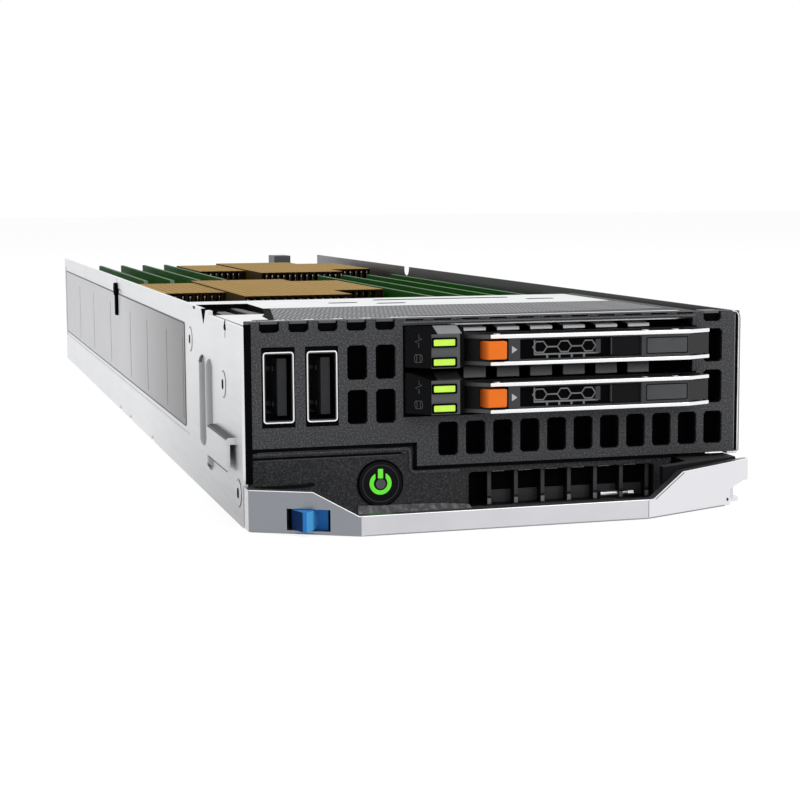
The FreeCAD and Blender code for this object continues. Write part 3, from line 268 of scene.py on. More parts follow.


# Colours, pitches and directions of faces that the finishes use
# SHADE_BLACK is painted shade: black deep inside the bezel's and panel's openings and at the grips' left ends
SHADE_BLACK = (0.0025, 0.0025, 0.003, 1.0)
INK = (0.0045, 0.0047, 0.0055)
FIN_PITCH, SCREEN_PITCH = 2.0, 1.0
GRIP_TIP = (0.508, -0.861, 0.0)
LEFT_BLOCK, RIGHT_BLOCK = (-0.4826, -0.8758, 0.0), (0.3967, -0.9179, 0.0)
THUMB_LEFT, THUMB_RIGHT = (-0.97, -0.22, 0.0), (0.6, -0.8, 0.0)
M = {
    # Tray metal with painted shade low at the front of its left wall and inside its right wall
    "tray": metal("tray_zinc", (0.74, 0.745, 0.76), 0.37, ALONG_Y, 0.025, 0.04, shade_painter=tray_painted_shade),
    "cover": metal("cover_plate", (0.76, 0.77, 0.78), 0.3, (0.06, 1, 1), 0.04, 0.04),
    "cage": metal("cage_plate", (0.1, 0.102, 0.105), 0.45),
    # Painted shade on the cage's lips: dark at the top, pale lower down; the lower row is a shaded copy
    "lip": plastic("lip_painted_shade", (0.22, 0.22, 0.224), 0.4, 0.1, shine=0.15, shade_zone=(Z, 38.1, 37.5, grey(0.95))),
    "lip_shaded": plastic("lip_shaded", (0.05, 0.05, 0.051), 0.4, 0.1, shine=0.1,
                          shade_zone=(Z, 29.8, 28.2, grey(0.4))),
    # Painted shade: the bezel and the lower panel turn black behind their front faces, inside their openings
    "bezel": plastic("bezel_black", (0.042, 0.0432, 0.049), 0.52, 0.8, 3000.0, 0.06, speck=grey(0.125),
                     shade_zone=(Y, 0.35, 0.9, SHADE_BLACK)),
    "panel": plastic("panel_black", (0.014, 0.0145, 0.0165), 0.46, 0.9, 2800.0, 0.06, speck=grey(0.06),
                     shade_zone=(Y, 1.0, 1.6, SHADE_BLACK)),
    # Painted light: the housing's front face is lighter than its other faces
    "housing": plastic("housing_grey", INK, 0.45, shine=0.06,
                       sides=((FORWARD, 0.9, 0.98, (0.115, 0.12, 0.127, 1.0)),)),
    "facet": plastic("facet_dark", INK, 0.45, 0.15, shine=0.06),
    "board": plastic("board_mask", (0.012, 0.055, 0.022), 0.35, 0.1, speck=(0.02, 0.085, 0.035, 1.0)),
    "dark_board": plastic("board_dark", (0.006, 0.009, 0.007), 0.5, 0.1),
    "shell": metal("port_steel", (0.08, 0.08, 0.083), 0.35),
    "rim": metal("rim_bright", (0.88, 0.88, 0.885), 0.16),
    "tongue": plastic("port_tongue", (0.03, 0.031, 0.034), 0.4, shine=0.1),
    "lit": glow("bar_lit", (0.55, 0.89, 0.07), 0.86),
    "symbol": glow("symbol_lit", (0.13, 0.8, 0.03), 0.8),
    "button": plastic("button_black", (0.004, 0.0042, 0.005), 0.38, 0.15, shine=0.08),
    # Painted shade and light on the handle: left block darker, right block lighter, top faces darker
    "handle": metal("handle_cast", (0.6, 0.6, 0.625), 0.36, (0.4, 0.4, 1), 0.03, 0.06,
                    sides=((LEFT_BLOCK, 0.955, 0.985, (0.265, 0.28, 0.305, 1.0)),
                           (RIGHT_BLOCK, 0.955, 0.985, (0.73, 0.73, 0.755, 1.0)),
                           (UPWARD, 0.8, 0.95, (0.3, 0.3, 0.31, 1.0)))),
    # Painted light: top faces of the black moulded parts lighter
    "black": plastic("moulded_black", INK, 0.5, shine=0.06, sides=((UPWARD, 0.7, 0.95, grey(0.055)),)),
    "steel": metal("turned_steel", (0.66, 0.67, 0.68), 0.3),
    "dark_steel": metal("blacked_steel", (0.03, 0.03, 0.032), 0.4),
    # Painted shade and light on the thumb piece: left facet darker, right face lighter
    "blue": plastic("slider_blue", (0.038, 0.23, 0.62), 0.4, 0.15, vary=0.06, shine=0.05,
                    sides=((THUMB_LEFT, 0.75, 0.93, (0.002, 0.024, 0.1, 1.0)),
                           (THUMB_RIGHT, 0.86, 0.96, (0.09, 0.4, 0.8, 1.0)))),
    "carrier": plastic("carrier_dark", (0.01, 0.01, 0.0115), 0.45, shine=0.1),
    "drive": metal("drive_case", (0.3, 0.305, 0.31), 0.38),
    # Painted shade: grips darker on their tip faces and black at their left ends
    "grip": plastic("grip_dark", (0.062, 0.063, 0.069), 0.42, 0.3, shine=0.12, shade_zone=(X, -3.6, -4.4, SHADE_BLACK),
                    sides=((GRIP_TIP, 0.96, 0.99, grey(0.038)),)),
    "tag": plastic("tag_grey", (0.085, 0.087, 0.093), 0.42, 0.3, shine=0.12),
    # Painted shade: slopes darker towards the left
    "slope": plastic("slope_grey", (0.11, 0.112, 0.12), 0.4, 0.2, shade_zone=(X, -5.0, -8.0, grey(0.03))),
    "trim": metal("trim_bright", (0.86, 0.865, 0.87), 0.2, (0.05, 1, 1), 0.04),
    # Painted shade: the release darker at its left end
    "orange": plastic("release_orange", (0.98, 0.21, 0.02), 0.4, 0.1, vary=0.05, shine=0.12,
                      shade_zone=(X, -4.8, -5.4, (0.5, 0.1, 0.01, 1.0))),
    "socket": plastic("socket_black", (0.012, 0.012, 0.0135), 0.45),
    "lid": metal("lid_nickel", (0.72, 0.72, 0.72), 0.3),
    "copper": fin_metal("fin_copper", (0.4, 0.24, 0.055), (0.012, 0.007, 0.004, 1.0), FIN_PITCH),
    "module": plastic("module_mask", (0.013, 0.105, 0.007), 0.5, 0.1, shine=0.02,
                      sides=((UPWARD, 0.8, 0.95, (0.13, 0.2, 0.13, 1.0)),)),
    "edge": plastic("module_edge", (0.25, 0.33, 0.26), 0.5, 0.1, shine=0.05),
    "latch": plastic("latch_grey", (0.45, 0.46, 0.44), 0.42),
    "part": plastic("part_dark", (0.04, 0.04, 0.043), 0.4),
    "cell": metal("cell_steel", (0.78, 0.78, 0.77), 0.22),
    "cast": metal("guide_cast", (0.1, 0.103, 0.11), 0.45),
    # Painted shade: the label darker towards the front
    "label": plastic("label_white", (0.85, 0.85, 0.87), 0.42, 0.03, vary=0.02, shine=0.1,
                     shade_zone=(Y, 190.0, 70.0, grey(0.3))),
    "rule": plastic("dark_line", (0.13, 0.13, 0.135), 0.5, 0.02),
    # Painted shade: a darker copy of the tray's metal for the ribs, the rim and the handle's lower edge
    "bead": metal("bead_shade", (0.25, 0.252, 0.26), 0.4, (1, 1, 0.05)),
    "gasket": plastic("gasket_grey", (0.1, 0.1, 0.105), 0.75, 0.9, 900.0, 0.4, speck=grey(0.26)),
    "screen": screen_metal("screen_grey", (0.45, 0.455, 0.47), (0.02, 0.02, 0.022), SCREEN_PITCH),
    "icon": plastic("icon_grey", (0.1, 0.103, 0.11), 0.5, shine=0.1),
    "mark": plastic("mark_pale", (0.55, 0.555, 0.56), 0.45),
    "web": plastic("web_grey", (0.22, 0.223, 0.23), 0.4, shine=0.12),
    "post": plastic("post_grey", (0.065, 0.066, 0.07), 0.5, 0.5, shine=0.1),
    "ledge": plastic("ledge_grey", (0.035, 0.036, 0.038), 0.5, 0.2, shine=0.1),
    "foot": plastic("post_foot", (0.26, 0.262, 0.27), 0.5, 0.4),
    "shadow": plastic("deep_black", (0.002, 0.002, 0.0024), 0.8, 0.1, shine=0.03),
    "gold": metal("contact_gold", (0.8, 0.55, 0.2), 0.25),
    "chip": plastic("chip_black", (0.012, 0.012, 0.0125), 0.4, 0.2, shine=0.1),
    "tip": metal("tip_silver", (0.75, 0.74, 0.7), 0.25),
}
slot_material = {
    "tray_steel": "tray", "cover_steel": "cover", "cage_steel": "cage", "bezel_plastic": "bezel",
    "panel_plastic": "panel", "housing_plastic": "housing", "circuit_board": "board", "port_shell": "shell",
    "port_tongue": "tongue", "button_plastic": "button", "handle_metal": "handle", "dark_plastic": "black",
    "pin_steel": "steel", "slider_plastic": "blue", "carrier_plastic": "carrier", "drive_case": "drive",
    "grip_plastic": "grip", "grip_trim": "trim", "release_plastic": "orange", "socket_plastic": "socket",
    "processor_lid": "lid", "sink_copper": "copper", "module_board": "module", "latch_plastic": "latch",
    "part_plastic": "part", "cell_steel": "cell", "guide_metal": "cast", "light_green": "lit",
}
node_material = {
    "power_symbol": "symbol", "front_io_board": "dark_board", "drive_backplane": "dark_board",
    "chassis_rivets": "tray", "handle_pin": "dark_steel",
}

# Rounding of the solids' edges
plain_edge = 0.1
soft_edges = {
    "front_bezel": 0.3, "lower_panel": 0.3, "ejector_handle": 0.35, "chassis_tray": 0.15,
    "status_housing": 0.25, "power_button": 0.3, "ssd_handle_upper": 0.2, "ssd_handle_lower": 0.2,
    "ssd_trim_upper": 0.18, "ssd_trim_lower": 0.18, "ssd_release_upper": 0.3, "ssd_release_lower": 0.3,
    "latch_slider": 0.2, "handle_core": 0.3, "status_lights": 0.15, "drive_cage": 0.12,
}
same_point = 1e-6
flat_angle, sharp_angle = math.radians(0.5), math.radians(35)


def round_edges(item, width, clean=True):
    if clean:
        weld = item.modifiers.new("weld", "WELD")
        weld.merge_threshold = same_point
        flat = item.modifiers.new("flat", "DECIMATE")
        flat.decimate_type = "DISSOLVE"
        flat.angle_limit = flat_angle
    edge = item.modifiers.new("round", "BEVEL")
    edge.width = width * MM
    edge.segments = 2
    edge.limit_method = "ANGLE"
    edge.angle_limit = sharp_angle
    edge.use_clamp_overlap = True
    edge.harden_normals = True


for part in frame["record"]["subparts"]:
    item = nodes[part["node"]]
    item.data.materials.clear()
    choice = node_material.get(part["node"], slot_material[part["material_slot"]])
    item.data.materials.append(M[choice])
    round_edges(item, soft_edges.get(part["node"], plain_edge))

# Shape helpers: a shape is its corners and its faces, an outline is a list of points
TURN = {"x": lambda u, v, w: (w, u, v), "y": lambda u, v, w: (u, w, v), "z": lambda u, v, w: (u, v, w)}
TUBE_UP = Vector((0.13, 0.31, 0.94))
SLAB_FACES = [(0, 1, 3, 2), (4, 6, 7, 5), (0, 2, 6, 4), (1, 5, 7, 3), (0, 4, 5, 1), (2, 3, 7, 6)]


def limits(name):
    low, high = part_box(name)
    return [c / MM for c in low], [c / MM for c in high]


def front_middle(low, high):
    return (low[X] + high[X]) / 2, (low[Z] + high[Z]) / 2


def prism_faces(n):
    faces = [tuple(range(n)), tuple(range(2 * n - 1, n - 1, -1))]
    return faces + [(i, (i + 1) % n, n + (i + 1) % n, n + i) for i in range(n)]


def extrude(points, axis, low, high):
    verts = [TURN[axis](u, v, level) for level in (low, high) for u, v in points]
    return verts, prism_faces(len(points))


def prisms(outlines, axis, low, high):
    return [extrude(points, axis, low, high) for points in outlines]


def rectangle(u0, u1, v0, v1):
    return [(u0, v0), (u1, v0), (u1, v1), (u0, v1)]


def block(x0, x1, y0, y1, z0, z1):
    return extrude(rectangle(x0, x1, z0, z1), "y", y0, y1)


def sheet(corners, lift, sink):
    verts = [(x, y, z + lift) for x, y, z in corners] + [(x, y, z - sink) for x, y, z in corners]
    return verts, prism_faces(len(corners))


def rounded(u0, u1, v0, v1, r, steps=5):
    points = []
    corners = ((u1 - r, v1 - r, 0), (u0 + r, v1 - r, 90), (u0 + r, v0 + r, 180), (u1 - r, v0 + r, 270))
    for cu, cv, start in corners:
        for i in range(steps + 1):
            a = math.radians(start + 90 * i / steps)
            points.append((cu + r * math.cos(a), cv + r * math.sin(a)))
    return points


def circle(u, v, r, steps):
    turns = [2 * math.pi * i / steps for i in range(steps)]
    return [(u + r * math.cos(a), v + r * math.sin(a)) for a in turns]


def loft_faces(count, n, closed):
    faces = []
    for k in range(count if closed else count - 1):
        here, there = k * n, (k + 1) % count * n
        for i in range(n):
            j = (i + 1) % n
            faces.append((here + i, here + j, there + j, there + i))
    if not closed:
        faces += [tuple(range(n)), tuple(range((count - 1) * n, count * n))]
    return faces


def hoop(outer, inner, axis, low, high):
    verts = []
    for outline, level in ((outer, low), (inner, low), (inner, high), (outer, high)):
        verts += [TURN[axis](u, v, level) for u, v in outline]
    return verts, loft_faces(4, len(outer), True)


def ring(u, v, radii, steps, axis, low, high):
    return hoop(*[circle(u, v, r, steps) for r in radii], axis, low, high)


def tube(path, radius, sides=6, closed=False):
    points = [Vector(p) for p in path]
    n = len(points)
    verts = []
    for i, p in enumerate(points):
        if closed:
            along = (points[(i + 1) % n] - points[i - 1]).normalized()
        else:
            along = (points[min(i + 1, n - 1)] - points[max(i - 1, 0)]).normalized()
        first = along.cross(TUBE_UP).normalized()
        second = along.cross(first)
        for s in range(sides):
            a = 2 * math.pi * s / sides
            verts.append(tuple(p + (first * math.cos(a) + second * math.sin(a)) * radius))
    return verts, loft_faces(n, sides, closed)


def ribbon(path, width, low, high):
    half = width / 2
    shapes = []
    for (x0, z0), (x1, z1) in zip(path, path[1:]):
        span_x = (min(x0, x1) - half, max(x0, x1) + half)
        span_z = (min(z0, z1) - half, max(z0, z1) + half)
        shapes.append(block(*span_x, low, high, *span_z))
    return shapes


def piece(name, shapes, material, soft=0.0, body="chassis"):
    bm = bmesh.new()
    for verts, faces in shapes:
        made = [bm.verts.new(Vector(v) * MM) for v in verts]
        for face in faces:
            bm.faces.new([made[i] for i in face])
    bmesh.ops.recalc_face_normals(bm, faces=bm.faces[:])
    mesh = bpy.data.meshes.new(name)
    bm.to_mesh(mesh)
    bm.free()
    item = bpy.data.objects.new(name, mesh)
    mesh.materials.append(M[material])
    bpy.context.scene.collection.objects.link(item)
    if soft:
        round_edges(item, soft, False)
    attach(item, body)
    return item


# Black in the shadow finish, put where there is only shade: painted shade
def dark(name, shapes, soft=0.0, body="chassis"):
    return piece(name, shapes, "shadow", soft, body)


# Ports: black surround, bright rim, contact springs on arms. A growth is side, end and corner radius
surround_growths, surround_depth = ((0.25, 0.95, 0.4), (-0.1, -0.1, 0.5)), (0.1, 0.6)
port_rim_growths, port_rim_proud, port_rim_back = ((0.05, 0.1, 0.65), (-0.2, -0.15, 0.45)), 0.1, 1.0
spring_rises, spring_near, spring_far = (-3.3, 3.6), 0.75, 1.05
spring_half, spring_round, spring_depth = 0.5, 0.12, (1.2, 3.0)
arm_inset, arm_half, arm_depth = 0.3, 0.4, (2.7, 3.0)


def port_hoop(low, high, growths, front, back):
    outlines = [rounded(low[X] - side, high[X] + side, low[Z] - end, high[Z] + end, radius)
                for side, end, radius in growths]
    return hoop(*outlines, "y", front, back)


for side in ("left", "right"):
    low, high = limits("usb_port_" + side)
    surround = port_hoop(low, high, surround_growths, *surround_depth)
    piece("usb_surround_" + side, [surround], "shadow")
    rim = port_hoop(low, high, port_rim_growths, low[Y] - port_rim_proud, port_rim_back)
    piece("usb_rim_" + side, [rim], "rim", soft=0.05)
    mid_x, mid_z = front_middle(low, high)
    near = mid_x - spring_near
    springs = []
    for z in (mid_z + rise for rise in spring_rises):
        tip = rounded(mid_x - spring_far, near, z - spring_half, z + spring_half, spring_round)
        springs.append(extrude(tip, "y", *spring_depth))
        springs.append(block(low[X] + arm_inset, near, *arm_depth, z - arm_half, z + arm_half))
    piece("usb_springs_" + side, springs, "chip", soft=0.05)

# Front bezel: painted shade as dark backs behind its vents and crown notches and in the hem's slots, hem tabs
# along its top, painted highlight lines beside the drive bay
hem_pitch = 5.78
crowns = [-48.9 + hem_pitch * i for i in range(5)] + [44.1]
crown_wide, crown_depth, crown_rise = 4.0, (0.9, 3.9), (37.5, 39.45)
vent_fields = ((-33.2, -21.2, 17.2, 36.5), (-14.5, 42.4, 11.6, 20.2), (43.0, 49.6, 11.6, 37.6))
vent_depth = (4.0, 4.3)
backs = [block(x0, x1, *vent_depth, z0, z1) for x0, x1, z0, z1 in vent_fields]
backs += [block(x, x + crown_wide, *crown_depth, *crown_rise) for x in crowns]
dark("vent_backs", backs)
tab_near, tab_far, tab_depth, tab_round, tab_rise = 0.1, 3.9, (0.45, 4.0), 0.3, (39.5, 40.12)
tabs = [rounded(x + tab_near, x + tab_far, *tab_depth, tab_round) for x in crowns]
piece("hem_tabs", prisms(tabs, "z", *tab_rise), "cage", soft=0.12)
slot_starts = [-19.6 + hem_pitch * i for i in range(11)]
slot_long, slot_rise, slot_round, slot_depth = 3.6, (39.62, 39.92), 0.14, (-0.03, 0.3)
slots = [rounded(x, x + slot_long, *slot_rise, slot_round) for x in slot_starts]
dark("hem_slots", prisms(slots, "y", *slot_depth))
bay_span = (-20.0, 42.4)
bezel_highlights = ((*bay_span, -0.06, 0.2, 39.2, 39.34), (51.15, 51.3, -0.04, 0.2, 11.2, 39.2))
piece("bezel_highlights", [block(*box) for box in bezel_highlights], "web")

# Seam between bezel and lower panel: two grooves in painted shade, rounded lip, painted highlight lines
seam_left = -50.9
seam_path = [(seam_left, 15.05), (-17.75, 15.05), (-17.75, 10.3), (37.2, 10.3)]
seam_wide, seam_depth = 0.75, (-0.04, 0.5)
piece("seam_groove", ribbon(seam_path, seam_wide, *seam_depth), "shadow", soft=0.15)
second_path = [(seam_left, 13.35), (-20.6, 13.35)]
second_wide, second_depth = 0.4, (0.5, 0.8)
piece("seam_second", ribbon(second_path, second_wide, *second_depth), "shadow", soft=0.1)
lip_path = ((seam_left, 14.2), (-19.6, 14.2), (-18.9, 13.9), (-18.7, 13.2), (-18.7, 10.2), (-18.4, 9.6),
            (-17.7, 9.4), (-8.5, 9.4))
lip_y, lip_radius = 0.62, 0.38
lip = tube([(x, lip_y, z) for x, z in lip_path], lip_radius, sides=12)
piece("seam_lip", [lip], "bezel")
seam_highlights = (([(-49.5, 0.2, 14.62), (-26.0, 0.2, 14.7)], 0.09),
               ([(-49.5, 0.55, 12.95), (-21.0, 0.55, 13.0)], 0.07),
               ([(-17.2, 0.2, 14.0), (-17.2, 0.2, 10.9)], 0.09))
piece("seam_highlights", [tube(path, radius) for path, radius in seam_highlights], "icon")

# Lower panel: painted shade in the finger recess at the left, gasket strip, painted shade in dark gaps at the
# front's edges and behind the handle and the grille
finger = [(-51.0, 7.2), (-40.5, 7.3), (-38.5, 7.5), (-37.9, 7.9), (-38.5, 8.35), (-40.2, 8.1), (-51.0, 7.9)]
finger_depth, gasket_depth, corner_depth = (0.5, 0.75), (0.2, 0.75), (0.02, 3.9)
piece("finger_recess_shade", [extrude(finger, "y", *finger_depth)], "facet", soft=0.12)
gasket = [(-29.5, 1.0), (-5.5, 1.0), (-6.5, 2.4), (-12.0, 2.9), (-29.5, 3.2)]
piece("gasket_strip", [extrude(gasket, "y", *gasket_depth)], "gasket", soft=0.15)
behind_handle, behind_grille = (37.6, 51.4, 14.2, 14.6, 1.0, 20.0), (-6.4, 37.0, 4.6, 4.9, 1.0, 9.2)
left_gap, right_gap = (-51.95, -50.5, -0.08, 0.3, 8.6, 39.6), (51.35, 51.95, -0.04, 0.3, 10.9, 39.3)
dark("front_darks", [block(*box) for box in (behind_handle, behind_grille, left_gap, right_gap)], soft=0.1)
corner_span, corner_round, corner_rises = (41.75, 42.65), 0.15, ((37.15, 38.9), (27.75, 30.5))
corners = [rounded(*corner_span, *rise, corner_round) for rise in corner_rises]
piece("bay_corners", prisms(corners, "y", *corner_depth), "bezel")

# Right edge of the front: tray's rim painted darker as shade, its painted highlight line and its foot
rim_front, rim_back, foot_depth, rim_line_radius = -0.02, 0.8, (0.85, 3.4), 0.13
rim_face = [(52.2, 10.7), (52.5, 10.7), (52.5, 38.2), (52.42, 39.0), (52.2, 39.5)]
piece("right_rim", [extrude(rim_face, "y", rim_front, rim_back)], "bead")
rim_line = ((52.08, 10.8), (52.08, 38.6), (51.95, 39.3), (51.5, 39.8), (50.6, 39.95))
rim_highlight = tube([(x, rim_front, z) for x, z in rim_line], rim_line_radius, sides=8)
piece("rim_highlight", [rim_highlight], "trim")
foot_face = [(50.2, 10.05), (52.4, 10.05), (52.4, 11.6), (52.0, 11.6), (51.8, 10.6), (50.2, 10.6)]
piece("rim_foot", [extrude(foot_face, "y", *foot_depth)], "tray", soft=0.1)

# Lips of the drive cage, above and between the carriers, and painted shade as black backs behind them
tongue_starts = [-7.4 + 7.04 * i for i in range(6)]
tongue_wide, tongue_over = 4.6, 0.03
front, inner, back = 0.85, 1.1, 5.0
# The lower row takes the shaded copy of the lip finish: painted shade
for row, top, drop, finish in (("upper", 38.1, 0.88, "lip"), ("lower", 30.45, 2.6, "lip_shaded")):
    bend = [(back, top + 0.02), (back, top + 0.08), (inner, top - 0.2), (front, top - 0.4),
            (front, top - drop), (inner, top - drop), (inner, top - 0.4)]
    skins = [extrude(bend, "x", x - tongue_over, x + tongue_wide + tongue_over) for x in tongue_starts]
    piece("bay_lips_" + row, skins, finish, soft=0.06)
bay_back_depth, bay_back_rises = (5.2, 5.5), ((37.1, 38.7), (27.75, 30.4))
dark("bay_backs", [block(*bay_span, *bay_back_depth, *rise) for rise in bay_back_rises])

# Status housings: dark facets with icons, frames round the lights, sloped crowns with painted shade beside
# them
facet_start, facet_end = Vector((-19.9, -0.4, 0.0)), Vector((-15.7, -4.5, 0.0))
across = (facet_end - facet_start).normalized()
outward = Vector((across.y, -across.x, 0.0))
facet_start, facet_end = facet_start + across * 0.3, facet_end - across * 0.1
facet_shifts, facet_margin, icon_lift = (0.06, -0.24), 0.1, 0.09
icon_middle = (facet_start + facet_end) / 2 + outward * icon_lift
pulse = [(0.1, 1.3), (0.1, 0.6), (0.8, 0.35), (-0.75, -0.2), (0.1, -0.5), (0.1, -1.3)]
pulse_rise, pulse_radius = 5.4, 0.08
drum_rise, drum_half, drum_flat, drum_tall, drum_radius, drum_steps = 1.9, 0.6, 0.25, 0.75, 0.07, 14
light_rises, light_depth = (0.5, 4.35), (-4.85, -4.4)
side_plan = [(-9.78, -4.58), (-8.66, -3.56), (-8.66, -0.9), (-8.9, -0.9), (-8.9, -3.45), (-9.9, -4.35)]
crown_left, crown_right, crown_front, crown_back, crown_tall = -14.46, -9.5, -4.5, -1.0, 1.3
crown_plan = rectangle(crown_left, crown_right, crown_front, crown_back)
dark_plans = (
    [(-15.6, crown_front), (crown_left, crown_front), (crown_left, crown_back), (-19.2, crown_back)],
    [(crown_right, crown_front + 0.3), (-8.8, -3.7), (-8.8, crown_back), (crown_right, crown_back)])


def crown_height(y, high):
    return high - crown_tall * min(1.0, max(0.0, (crown_back - y) / (crown_back - crown_front)))


def crown_sheet(plan, high, lift):
    return sheet([(x, y, crown_height(y, high)) for x, y in plan], lift, sink=0.06)


def on_facet(u, v):
    return tuple(icon_middle + across * u + Vector((0, 0, v)))


def status_icons(low):
    pulse_z, drum_z = low + pulse_rise, low + drum_rise
    icons = [tube([on_facet(u, pulse_z + v) for u, v in pulse], pulse_radius)]
    for side in (drum_half, -drum_half):
        end = [on_facet(side + drum_flat * u, drum_z + drum_tall * v) for u, v in circle(0, 0, 1, drum_steps)]
        icons.append(tube(end, drum_radius, closed=True))
    for z in (drum_z - drum_tall, drum_z + drum_tall):
        icons.append(tube([on_facet(drum_half, z), on_facet(-drum_half, z)], drum_radius))
    return icons


# The lower crown lip is painted darker, as shade under the upper housing
for level, low, high, finish in (("lower", 21.3, 29.4, "slope"), ("upper", 30.4, 38.5, "web")):
    verts = []
    for shift in facet_shifts:
        for spot in (facet_start, facet_end):
            p = spot + outward * shift
            verts += [(p.x, p.y, low + facet_margin), (p.x, p.y, crown_height(spot.y, high) - facet_margin)]
    piece("status_facet_" + level, [(verts, SLAB_FACES)], "facet", soft=0.06)
    piece("status_icons_" + level, status_icons(low), "icon")
    frames = []
    for base in (low + rise for rise in light_rises):
        outer = rounded(-15.65, -10.55, base - 0.25, base + 1.7, 0.25)
        inner = rounded(-15.3, -10.9, base + 0.1, base + 1.35, 0.2)
        frames.append(hoop(outer, inner, "y", *light_depth))
    piece("bar_frames_" + level, frames, "shadow")
    side_skin = extrude(side_plan, "z", low + facet_margin, high - crown_tall)
    piece("status_side_" + level, [side_skin], "facet")
    piece("crown_lip_" + level, [crown_sheet(crown_plan, high, 0.08)], finish)
    crown_darks = [crown_sheet(plan, high, 0.05) for plan in dark_plans]
    piece("crown_dark_" + level, crown_darks, "shadow")

# Power button: dark ring in the panel, fine line on the button, lens in the middle of the symbol
low, high = limits("power_button")
(mid_x, mid_z), front = front_middle(low, high), low[Y]
ring_radii, line_radii, ring_steps, ring_depth = (4.72, 4.5), (3.75, 3.6), 40, (0.3, 0.7)
lens_radius, lens_drop, lens_depth = 1.1, 0.1, (0.02, 0.3)
button_ring = ring(mid_x, mid_z, ring_radii, ring_steps, "y", *ring_depth)
piece("button_ring", [button_ring], "shadow", soft=0.12)
button_line = ring(mid_x, mid_z, line_radii, ring_steps, "y", front - 0.03, front + 0.1)
piece("button_line", [button_line], "part", body="power_button")
lens = extrude(circle(mid_x, mid_z - lens_drop, lens_radius, 24), "y", *lens_depth)
piece("button_lens", [lens], "housing", soft=0.2, body="power_button")

# Lower grille: pin and nut on a saddle, ledges, grey posts with pale feet, bands between them
pin_y, pin_z = 3.6, 2.35
saddle_span, head_span, shank_span, nut_span = (22.4, 30.8), (22.8, 26.5), (26.5, 28.9), (28.9, 30.3)
head_radius, shank_radius, nut_radius, nut_drop = 0.85, 0.55, 0.75, 0.05
cradle = [(2.6, 1.0), (4.6, 1.0), (4.6, 2.3), (4.35, 2.3), (4.1, 1.6), (3.1, 1.6), (2.85, 2.3), (2.6, 2.3)]
piece("grille_saddle", [extrude(cradle, "x", *saddle_span)], "dark_steel", soft=0.05)
pin = [extrude(circle(pin_y, pin_z, head_radius, 20), "x", *head_span),
       extrude(circle(pin_y, pin_z, shank_radius, 16), "x", *shank_span)]
piece("grille_pin", pin, "steel", soft=0.12)
nut = extrude(circle(pin_y, pin_z - nut_drop, nut_radius, 6), "x", *nut_span)
piece("grille_nut", [nut], "steel", soft=0.1)
posts = [-2.05 + 5.74 * i for i in range(7)]
grille_rows = (
    ("grille_ledges", posts, (1.0, 3.6), (2.0, 3.2), (8.5, 8.75), "mark", 0.05),
    ("grille_faces", posts, (0.05, 0.85), (2.3, 2.42), (3.5, 8.7), "post", 0.05),
    ("grille_feet", posts, (0.05, 0.85), (2.25, 2.42), (1.8, 2.95), "foot", 0.05),
    ("grille_bands", posts[:-1], (0.9, 5.7), (4.2, 4.4), (1.2, 4.4), "part", 0.0))
for name, starts, (near, far), depth, rise, finish, soft in grille_rows:
    shapes = [block(x + near, x + far, *depth, *rise) for x in starts]
    piece(name, shapes, finish, soft)

# Handle: painted highlight along the top edge, painted shade along the lower edge and in dark lines on the
# right diagonal and the crease, screw
BOW = ((-52.4, -4.6), (-32.8, -15.4), (26.1, -14.4), (53.4, -2.6))
bow_front, crease_x = BOW[1][Y], BOW[2][X]
edge_radius, edge_drop, under_radius, under_z, line_sink = 0.1, 0.06, 0.13, 0.27, 0.02


def bow_face(x):
    for (xa, ya), (xb, yb) in zip(BOW, BOW[1:]):
        if x <= xb:
            return ya + (x - xa) * (yb - ya) / (xb - xa)
    return BOW[-1][Y]


def along_bow(spots, radius):
    path = [(x, max(bow_face(x) + line_sink, bow_front + radius), z) for x, z in spots]
    return tube(path, radius, sides=8)


top_edge = ((-52.2, 8.3), (-41.1, 8.3), (-34.2, 4.55), (-33.2, 4.0), (-32.8, 4.0), (-30.0, 4.0),
            (crease_x, 4.0), (27.4, 4.0), (35.1, 8.6), (53.2, 9.35))
edge_highlight = along_bow([(x, z - edge_drop) for x, z in top_edge], edge_radius)
piece("handle_highlight", [edge_highlight], "rim", body="handle")
under_spots = (-52.0, -34.2, -32.8, -28.0, crease_x, 46.8)
edge_shade = along_bow([(x, under_z) for x in under_spots], under_radius)
piece("handle_under_shade", [edge_shade], "bead", body="handle")
diagonal, crease = ((27.9, 3.85), (35.5, 8.35)), ((crease_x, 0.5), (crease_x, 3.8))
handle_shade_lines = [tube([(x, bow_face(x) + line_sink, z) for x, z in path], radius)
                for path, radius in ((diagonal, 0.1), (crease, 0.07))]
piece("handle_shade_lines", handle_shade_lines, "rule", body="handle")
screw_x, screw_z, screw_radius = 47.5, 1.42, 0.35
screw_y = bow_face(screw_x)
screw = extrude(circle(screw_x, screw_z, screw_radius, 12), "y", screw_y - 0.05, screw_y + 0.3)
piece("handle_screw", [screw], "dark_steel", body="handle")

# Painted shade: black backs in the latch window, beside the thumb piece
bow_corner, bow_turn = [Vector((x, y, 0.0)) for x, y in BOW[:2]]
run = (bow_turn - bow_corner).normalized()
inward = Vector((-run.y, run.x, 0.0))
window_depth, window_rise = (2.11, 2.21), (0.5, 5.3)
window_plans = []
for span in ((5.6, 8.4), (15.3, 16.35)):
    plan = [bow_corner + run * s + inward * d for s, d in rectangle(*span, *window_depth)]
    window_plans.append([(p.x, p.y) for p in plan])
dark("slot_backs", prisms(window_plans, "z", *window_rise), body="slider")

